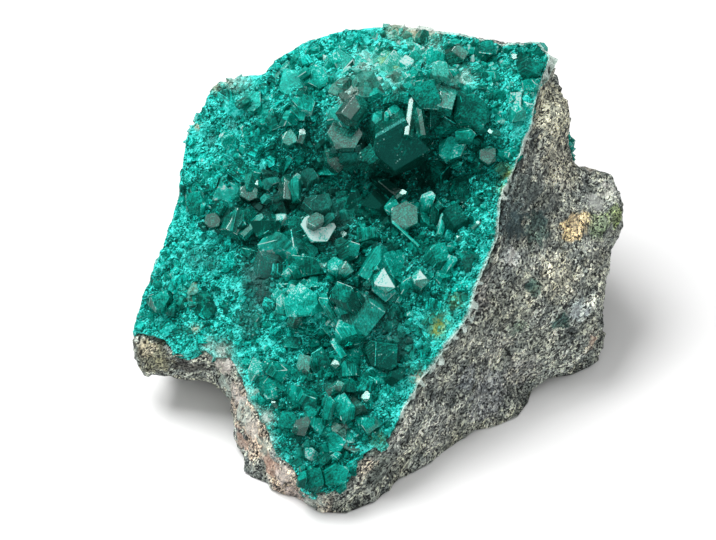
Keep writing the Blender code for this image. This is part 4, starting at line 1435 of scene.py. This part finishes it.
def lone_crystal(cluster, where, radius, tall, breaks, tone, chance):
    """One crystal with its own uneven form, turned a little from `where` to catch no lamp."""
    form = dioptase(chance, radius, tall, breaks, worn=min(WORN_MOST, radius * WORN_SHARE))

    def stands():
        tipped = Matrix.Rotation(math.radians(chance.gauss(0, TIPPED)), 4, "X")
        tipped = tipped @ Matrix.Rotation(math.radians(chance.gauss(0, TIPPED)), 4, "Y")
        return where @ tipped @ Matrix.Rotation(math.radians(chance.gauss(0, TURNED)), 4, "Z")

    cluster.add(form, settled(form, stands, chance), tone, chance)


# A large crystal's radius over its row's; how many grow beside it, their radius, distance and
# height over its own, and how far their tone differs.
LARGE_GROWTH = 1.06
BESIDE_COUNTS = (3, 4, 5)
BESIDE_RADIUS = (0.3, 0.66)
BESIDE_DISTANCE = (0.6, 0.95)
BESIDE_HEIGHT = (0.4, 0.95)
BESIDE_TONE = (-0.12, 0.2)


def large_crystals(cluster, chance):
    """The large crystals, each with smaller ones grown parallel to its sides."""
    for u, v, radius, height, lean_u, lean_v, turn in LARGE_CRYSTALS:
        foot = Vector((u, v, relief(u, v)))
        where = FACE @ lean_frame(foot, ground_normal(u, v), lean_u, lean_v, turn)
        where = where @ Matrix.Translation((0, 0, -ROOT_DEPTH))
        tone = tone_at(FACE @ foot)
        tall = height + ROOT_DEPTH
        breaks = chance.choice((1, 2, 3))
        lone_crystal(cluster, where, radius * LARGE_GROWTH, tall, breaks, tone, chance)
        for _ in range(chance.choice(BESIDE_COUNTS)):
            angle, share = chance.uniform(0, 2 * math.pi), chance.uniform(*BESIDE_RADIUS)
            across = radius * chance.uniform(*BESIDE_DISTANCE)
            aside = Matrix.Translation((math.cos(angle) * across, math.sin(angle) * across, 0))
            beside = where @ aside
            grown = tall * chance.uniform(*BESIDE_HEIGHT)
            other = tone + chance.uniform(*BESIDE_TONE)
            if before_shown(beside @ Vector((0, 0, grown)), radius * share):
                continue
            breaks = chance.choice((0, 1))
            lone_crystal(cluster, beside, radius * share, grown, breaks, other, chance)


# Nothing is strewn further from the middle of the face than this.
STREWN_TO = 50
# The spacing of the grid's rows over that of its columns, and how far a place strays across and
# along, over the spacing.
ROW_SPACING = 0.87
STRAYS = (0.45, 0.4)
# How far inside the rim a crystal stays: this share of its radius and this much more.
INSIDE_SHARE = 0.8
INSIDE_MORE = 0.2


def strewn(rim, spacing, least, most, chance):
    """Places on the crust, one to a cell of a loose grid: (u, v, radius)."""
    reach = int(STREWN_TO / spacing)
    across, along = STRAYS
    for column in range(-reach, reach + 1):
        for row in range(-reach, reach + 1):
            u = (column + (row % 2) / 2 + chance.uniform(-across, across)) * spacing
            v = (row * ROW_SPACING + chance.uniform(-along, along)) * spacing
            radius = least * (most / least) ** chance.random()
            inside = radius * INSIDE_SHARE + INSIDE_MORE
            if math.hypot(u, v) < STREWN_TO and rim_gap(rim, u, v) > inside:
                yield u, v, radius


def inside_large(u, v, share):
    """Whether a place is under one of the large crystals."""
    return any(
        (u - large[0]) ** 2 + (v - large[1]) ** 2 < (large[2] * share) ** 2
        for large in LARGE_CRYSTALS
    )


# What may stand before a shown facet: crystals up to this radius. Others keep clear of a spot so
# many pixels below its middle, by these shares of its own radius and of theirs.
HARMLESS = 0.4
GUARD_BELOW = 3
GUARD_OWN = 0.45
GUARD_OTHER = 0.55


def before_shown(foot, radius):
    """Whether a crystal here would stand before a facet that is turned to the view."""
    if radius <= HARMLESS:
        return False
    x, y = pixel_of(foot)
    return any(
        math.hypot(x - shown_x, y - shown_y - GUARD_BELOW)
        < (own * GUARD_OWN + radius * GUARD_OTHER) / MM_PER_PIXEL
        for shown_x, shown_y, own, *_ in SHOWN_CRYSTALS
    )


# Crystals between the large ones, by band: the spacing of the grid they are strewn on, their least
# and greatest radius, how tall they stand for their radius, how far they lean, how far their feet
# are lifted from the bed, how many are kept within and without the close fields, how much of a
# large crystal's foot is kept clear, the breaks across a tip, how its edges are worn and how far
# its tones are spread.
BANDS = [
    dict(spacing=2.5, radius=(1.9, 4.0), tall=(0.35, 1.0), lean=45, lift=-0.15, kept=(1.0, 0.4),
         clear=0.2, breaks=4, worn=0.03, spread=0.15),
    dict(spacing=1.8, radius=(0.7, 1.7), tall=(0.3, 1.5), lean=50, lift=-0.1, kept=(0.55, 0.8),
         clear=0.5, breaks=3, worn=0.05, spread=0.18),
    dict(spacing=0.76, radius=(0.2, 0.75), tall=(0.3, 1.6), lean=60, lift=-0.15, kept=(0.6, 0.9),
         clear=0.8, breaks=1, worn=0.0, spread=0.2),
]
BAND_FORMS = 40
# Crystals over a radius are left out where the druse is too dull, too near the rim for their
# radius, or too bright.
DULL_RADIUS, DULLEST = 1.2, 0.55
RIM_RADIUS, RIM_GAP = 0.7, 1.1
BRIGHT_RADIUS, BRIGHTEST = 1.5, 0.56
# The least of its radius that a crystal keeps outside the close fields.
LEAST_GROWN = 0.6
# Crystals over the first radius are turned from the lamps, and those under the second are druse.
SETTLED_RADIUS = 0.45
FINE_RADIUS = 0.32


def left_out(rim, foot, u, v, radius, tone):
    """Whether a band's crystal would be out of place here."""
    return (
        (radius > DULL_RADIUS and zone_sum(foot, DULL) > DULLEST)
        or (radius > RIM_RADIUS and rim_gap(rim, u, v) < RIM_GAP * radius)
        or (radius > BRIGHT_RADIUS and tone > BRIGHTEST)
    )


def crystal_band(clusters, rim, band, chance):
    """A band of crystals of one size over the whole crust, standing every way."""
    forms = [
        dioptase(chance, 1.0, chance.uniform(*band["tall"]) + 1.0, band["breaks"], band["worn"])
        for _ in range(BAND_FORMS)
    ]
    within, without = band["kept"]
    for u, v, radius in strewn(rim, band["spacing"], *band["radius"], chance):
        foot = FACE @ Vector((u, v, relief(u, v)))
        tone, close = tone_at(foot), field_at(foot)
        if inside_large(u, v, band["clear"]) or before_shown(foot, radius):
            continue
        if chance.random() > without + (within - without) * close:
            continue
        if left_out(rim, foot, u, v, radius, tone):
            continue
        radius *= LEAST_GROWN + (1.0 - LEAST_GROWN) * min(1.0, close * 2)
        foot = Vector((u, v, bed_height(u, v) + band["lift"] * radius))

        def stands():
            leans = chance.gauss(0, band["lean"]), chance.gauss(0, band["lean"])
            where = FACE @ lean_frame(foot, ground_normal(u, v), *leans, chance.uniform(0, 60))
            return where @ Matrix.Scale(radius, 4) @ Matrix.Translation((0, 0, -1.0))

        form = chance.choice(forms)
        where = settled(form, stands, chance) if radius > SETTLED_RADIUS else stands()
        if radius < FINE_RADIUS:
            kind = "fine"
        else:
            kind = "clear" if chance.random() < close else "cloudy"
        tone += chance.uniform(-band["spread"], band["spread"])
        clusters[kind].add(form, where, tone, chance)


# A direction in a crystal's own frame for each facet, and how far below the tip a flat cut crosses
# it, in radii: a shallow one leaves a triangle, a deep one a hexagon.
FACETS = {
    "rhomb": from_axis(RHOMB_TILT, 60),
    "prism": from_axis(90, 30),
    "triangle": from_axis(0, 0),
    "hexagon": from_axis(0, 0),
}
CUTS = {"rhomb": 0.0, "prism": 0.0, "triangle": 0.7, "hexagon": 1.25}
# Where the middle of a rhomb lies, in radii out of the axis and below the tip, and that of a prism
# facet, in radii out of the axis and as a share of the height.
RHOMB_MIDDLE = (0.25, 0.43, 0.62)
PRISM_MIDDLE = (0.8, 0.6)


def basis(first, near):
    """Three square directions as columns: the first one, one as near `near` as can be, and the
    third."""
    second = (near - first * near.dot(first)).normalized()
    return Matrix((first, second, first.cross(second))).transposed()


def facing(face, toward, slant):
    """A turn that brings a crystal's facet to `toward`, its long axis (or for a flat cut one of
    its corners) slanting from upright in the view by `slant` degrees."""
    hint = UP * math.cos(math.radians(slant)) + RIGHT * math.sin(math.radians(slant))
    own = basis(FACETS[face], from_axis(90 if CUTS[face] else 0, 0))
    return basis(toward, hint) @ own.transposed()


def facet_middle(face, radius, tall):
    """The middle of a crystal's facet in its own frame."""
    if face == "rhomb":
        x, y, below = RHOMB_MIDDLE
        return Vector((x * radius, y * radius, tall - below * radius))
    if face == "prism":
        out, up = PRISM_MIDDLE
        return FACETS[face] * radius * out + Vector((0, 0, tall * up))
    return Vector((0, 0, tall - CUTS[face] * radius))


SHOWN_RISE = 0.8
# Facets of crystals over this radius are chipped, and the sheen of those that mirror a lamp.
CHIPPED_RADIUS = 1.2
MIRROR_SHEEN = 0.25
# Crystals over this radius have so many beside them, with their radius, distance and height over
# its own, and how far their tone differs.
COMPANY_RADIUS = 1.3
COMPANY = 4
COMPANY_SIZE = (0.25, 0.5)
COMPANY_DISTANCE = (0.8, 1.05)
COMPANY_HEIGHT = (0.5, 0.85)
COMPANY_TONE = (-0.15, 0.2)


def shown_crystals(clusters, crust_tree, chance):
    """Crystals that turn one facet to the view or to a lamp, with smaller ones grown beside
    them."""
    for x, y, radius, tall, face, slant, toward, rise, tone in SHOWN_CRYSTALS:
        way = ray_through(x, y)
        spot = crust_tree.ray_cast(EYE, way)[0]
        if spot is None:
            continue
        mirrors = toward in LAMPS
        if mirrors:
            normal = mirror_way(spot, toward)
        else:
            normal = (RIGHT * toward[0] + UP * toward[1] - FORWARD).normalized()
        cut = CUTS[face] * radius
        middle = facet_middle(face, radius, tall)
        raised = Matrix.Translation(spot - way * rise * SHOWN_RISE)
        where = raised @ facing(face, normal, slant).to_4x4() @ Matrix.Translation(-middle)
        chipped = (middle, FACETS[face]) if radius > CHIPPED_RADIUS and not mirrors else None
        worn = min(WORN_MOST, radius * WORN_SHARE)
        form = dioptase(chance, radius, tall, 0, worn, cut, chipped)
        kind, sheen = ("glassy", MIRROR_SHEEN) if mirrors else ("clear", None)
        clusters[kind].add(form, where, tone, chance, sheen, FACETS[face])
        for _ in range(COMPANY if radius > COMPANY_RADIUS else 0):
            angle, share = chance.uniform(0, 2 * math.pi), chance.uniform(*COMPANY_SIZE)
            aside = Vector((math.cos(angle), math.sin(angle), 0)) * radius
            beside = where @ Matrix.Translation(aside * chance.uniform(*COMPANY_DISTANCE))
            grown = (tall - cut) * chance.uniform(*COMPANY_HEIGHT)
            if before_shown(beside @ Vector((0, 0, grown)), radius * share):
                continue
            other = tone + chance.uniform(*COMPANY_TONE)
            lone_crystal(clusters["clear"], beside, radius * share, grown, 1, other, chance)


# The patch on the back: its crystals, how far below its solid's middle it lies, how wide it is,
# from how far off its feet are sought, the radius of its middle crystals and how much smaller its
# outer ones are, their height over their radius, their lean and their tones.
PATCH_CRYSTALS = 34
PATCH_BELOW = 1.0
PATCH_REACH = 3.2
PATCH_SOUGHT_FROM = 6
PATCH_RADIUS = 1.5
PATCH_SHRINK = 1.0
PATCH_HEIGHT = 2.2
PATCH_LEAN = 26
PATCH_TONES = (0.35, 0.7)
GOLDEN_ANGLE = math.pi * (3 - math.sqrt(5))


def back_patch(rock_tree, finish, chance):
    """The small patch of crystals on the back of the rock."""
    low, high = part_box("back_crystals")
    cluster = Crystals()
    spot, normal, _, _ = rock_tree.find_nearest((low + high) / 2 / MM - UP * PATCH_BELOW)
    side = normal.orthogonal().normalized()
    other = normal.cross(side)
    for index in range(PATCH_CRYSTALS):
        share = math.sqrt((index + 0.3) / PATCH_CRYSTALS)
        angle = index * GOLDEN_ANGLE
        across = (side * math.cos(angle) + other * math.sin(angle)) * share * PATCH_REACH
        start = spot + across + normal * PATCH_SOUGHT_FROM
        foot, up, _, _ = rock_tree.ray_cast(start, -normal)
        if foot is None:
            continue
        radius = PATCH_RADIUS - PATCH_SHRINK * share
        leans = chance.gauss(0, PATCH_LEAN), chance.gauss(0, PATCH_LEAN)
        where = lean_frame(foot, up, *leans, chance.uniform(0, 60))
        where = where @ Matrix.Translation((0, 0, -radius))
        tone = chance.uniform(*PATCH_TONES)
        breaks = chance.choice((0, 1))
        lone_crystal(cluster, where, radius, radius * PATCH_HEIGHT, breaks, tone, chance)
    piece = cluster.piece("back_patch_crystals", finish)
    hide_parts("back_crystals")


# ---------------------------------------------------------------- floor, light and camera


# Where the lamps stand, in millimetres, their sides in metres and how brightly they glow.
LAMPS = {
    "key": Vector((-170, 60, 420)),
    "panel": Vector((150, -60, 560)),
    "front": Vector((-60, -480, 330)),
}
LAMP_SIDES = {"key": 0.26, "panel": 0.30, "front": 0.90}
LAMP_GLOW = {"key": 11.8, "panel": 1.5, "front": 0.75}
ROOM_COLOUR = (1.0, 1.0, 1.0, 1.0)
ROOM_GLOW = 0.3
FLOOR_COLOUR = (0.80, 0.80, 0.80, 1.0)
FLOOR_ROUGHNESS = 0.9
# Half the floor's side and its drop below the specimen, in metres.
FLOOR_HALF = 2.0
FLOOR_DROP = 0.0002
# The nearest the camera sees, in metres.
NEAREST = 0.01


def floor():
    """The pale floor that the specimen rests on."""
    bm = bmesh.new()
    bmesh.ops.create_grid(bm, x_segments=1, y_segments=1, size=FLOOR_HALF)
    mesh = bpy.data.meshes.new("floor")
    bm.to_mesh(mesh)
    bm.free()
    made, _, shader = new_finish("pale floor")
    shader.inputs["Base Color"].default_value = FLOOR_COLOUR
    shader.inputs["Roughness"].default_value = FLOOR_ROUGHNESS
    mesh.materials.append(made)
    piece = new_object("floor", mesh)
    piece.location.z = -FLOOR_DROP
    piece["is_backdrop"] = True


def studio():
    """Soft square lamps round the specimen in a dim pale room."""
    world = bpy.data.worlds.new("studio")
    world.use_nodes = True
    room = world.node_tree.nodes["Background"].inputs
    room["Color"].default_value = ROOM_COLOUR
    room["Strength"].default_value = ROOM_GLOW
    bpy.context.scene.world = world
    for name, place in LAMPS.items():
        light = bpy.data.lights.new(name, "AREA")
        light.size = LAMP_SIDES[name]
        light.energy = LAMP_GLOW[name] * math.pi * LAMP_SIDES[name] ** 2
        lamp = new_object(name, light)
        lamp.location = place * MM
        lamp.rotation_euler = (place - AIM).to_track_quat("Z", "Y").to_euler()
    bpy.context.scene.view_settings.view_transform = "Standard"


def camera():
    """The camera at the eye, looking along the view."""
    lens = bpy.data.cameras.new("camera")
    lens.sensor_width = SENSOR
    lens.lens = PIXELS_FOCAL / VIEW_SIZE[0] * SENSOR
    lens.clip_start = NEAREST
    eye = new_object("camera", lens)
    turn = Matrix((RIGHT, UP, -FORWARD)).transposed().to_4x4()
    eye.matrix_world = Matrix.Translation(EYE * MM) @ turn
    bpy.context.scene.camera = eye


# ---------------------------------------------------------------- the specimen


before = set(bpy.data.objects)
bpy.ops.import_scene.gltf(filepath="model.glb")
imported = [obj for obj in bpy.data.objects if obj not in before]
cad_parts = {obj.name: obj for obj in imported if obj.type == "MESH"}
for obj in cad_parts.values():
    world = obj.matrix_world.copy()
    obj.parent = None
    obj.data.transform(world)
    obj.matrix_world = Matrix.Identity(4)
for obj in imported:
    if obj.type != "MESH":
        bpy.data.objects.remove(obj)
cad_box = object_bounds()
camera()
studio()
floor()
rock, rock_tree = solid_of("host_rock")
crust, crust_tree = solid_of("dioptase_crust")
crust.free()
solid_rim = rim_reach(crust_tree)
rim = seen_rim(solid_rim, crust_tree, rock_tree)
fibres = fibres_group()
finishes = {kind: dioptase_finish(fibres, **row) for kind, row in FINISHES.items()}
rock_look = rock_finish(grains_group(), fibres, patch_group(), rock_tree)
host_rock(rock, rock_tree, crust_tree, rim, solid_rim, rock_look)
druse_ground(rim, finishes["fine"])
clusters = {name: Crystals() for name in finishes}
large_crystals(clusters["clear"], random.Random(SEED))
shown_crystals(clusters, crust_tree, random.Random(SEED + 1))
for index, band in enumerate(BANDS):
    crystal_band(clusters, rim, band, random.Random(SEED + 2 + index))
for name, cluster in clusters.items():
    cluster.piece(name + "_crystals", finishes[name])
back_patch(rock_tree, finishes["clear"], random.Random(SEED + 9))
[[list(corner) for corner in box] for box in (cad_box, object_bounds())]
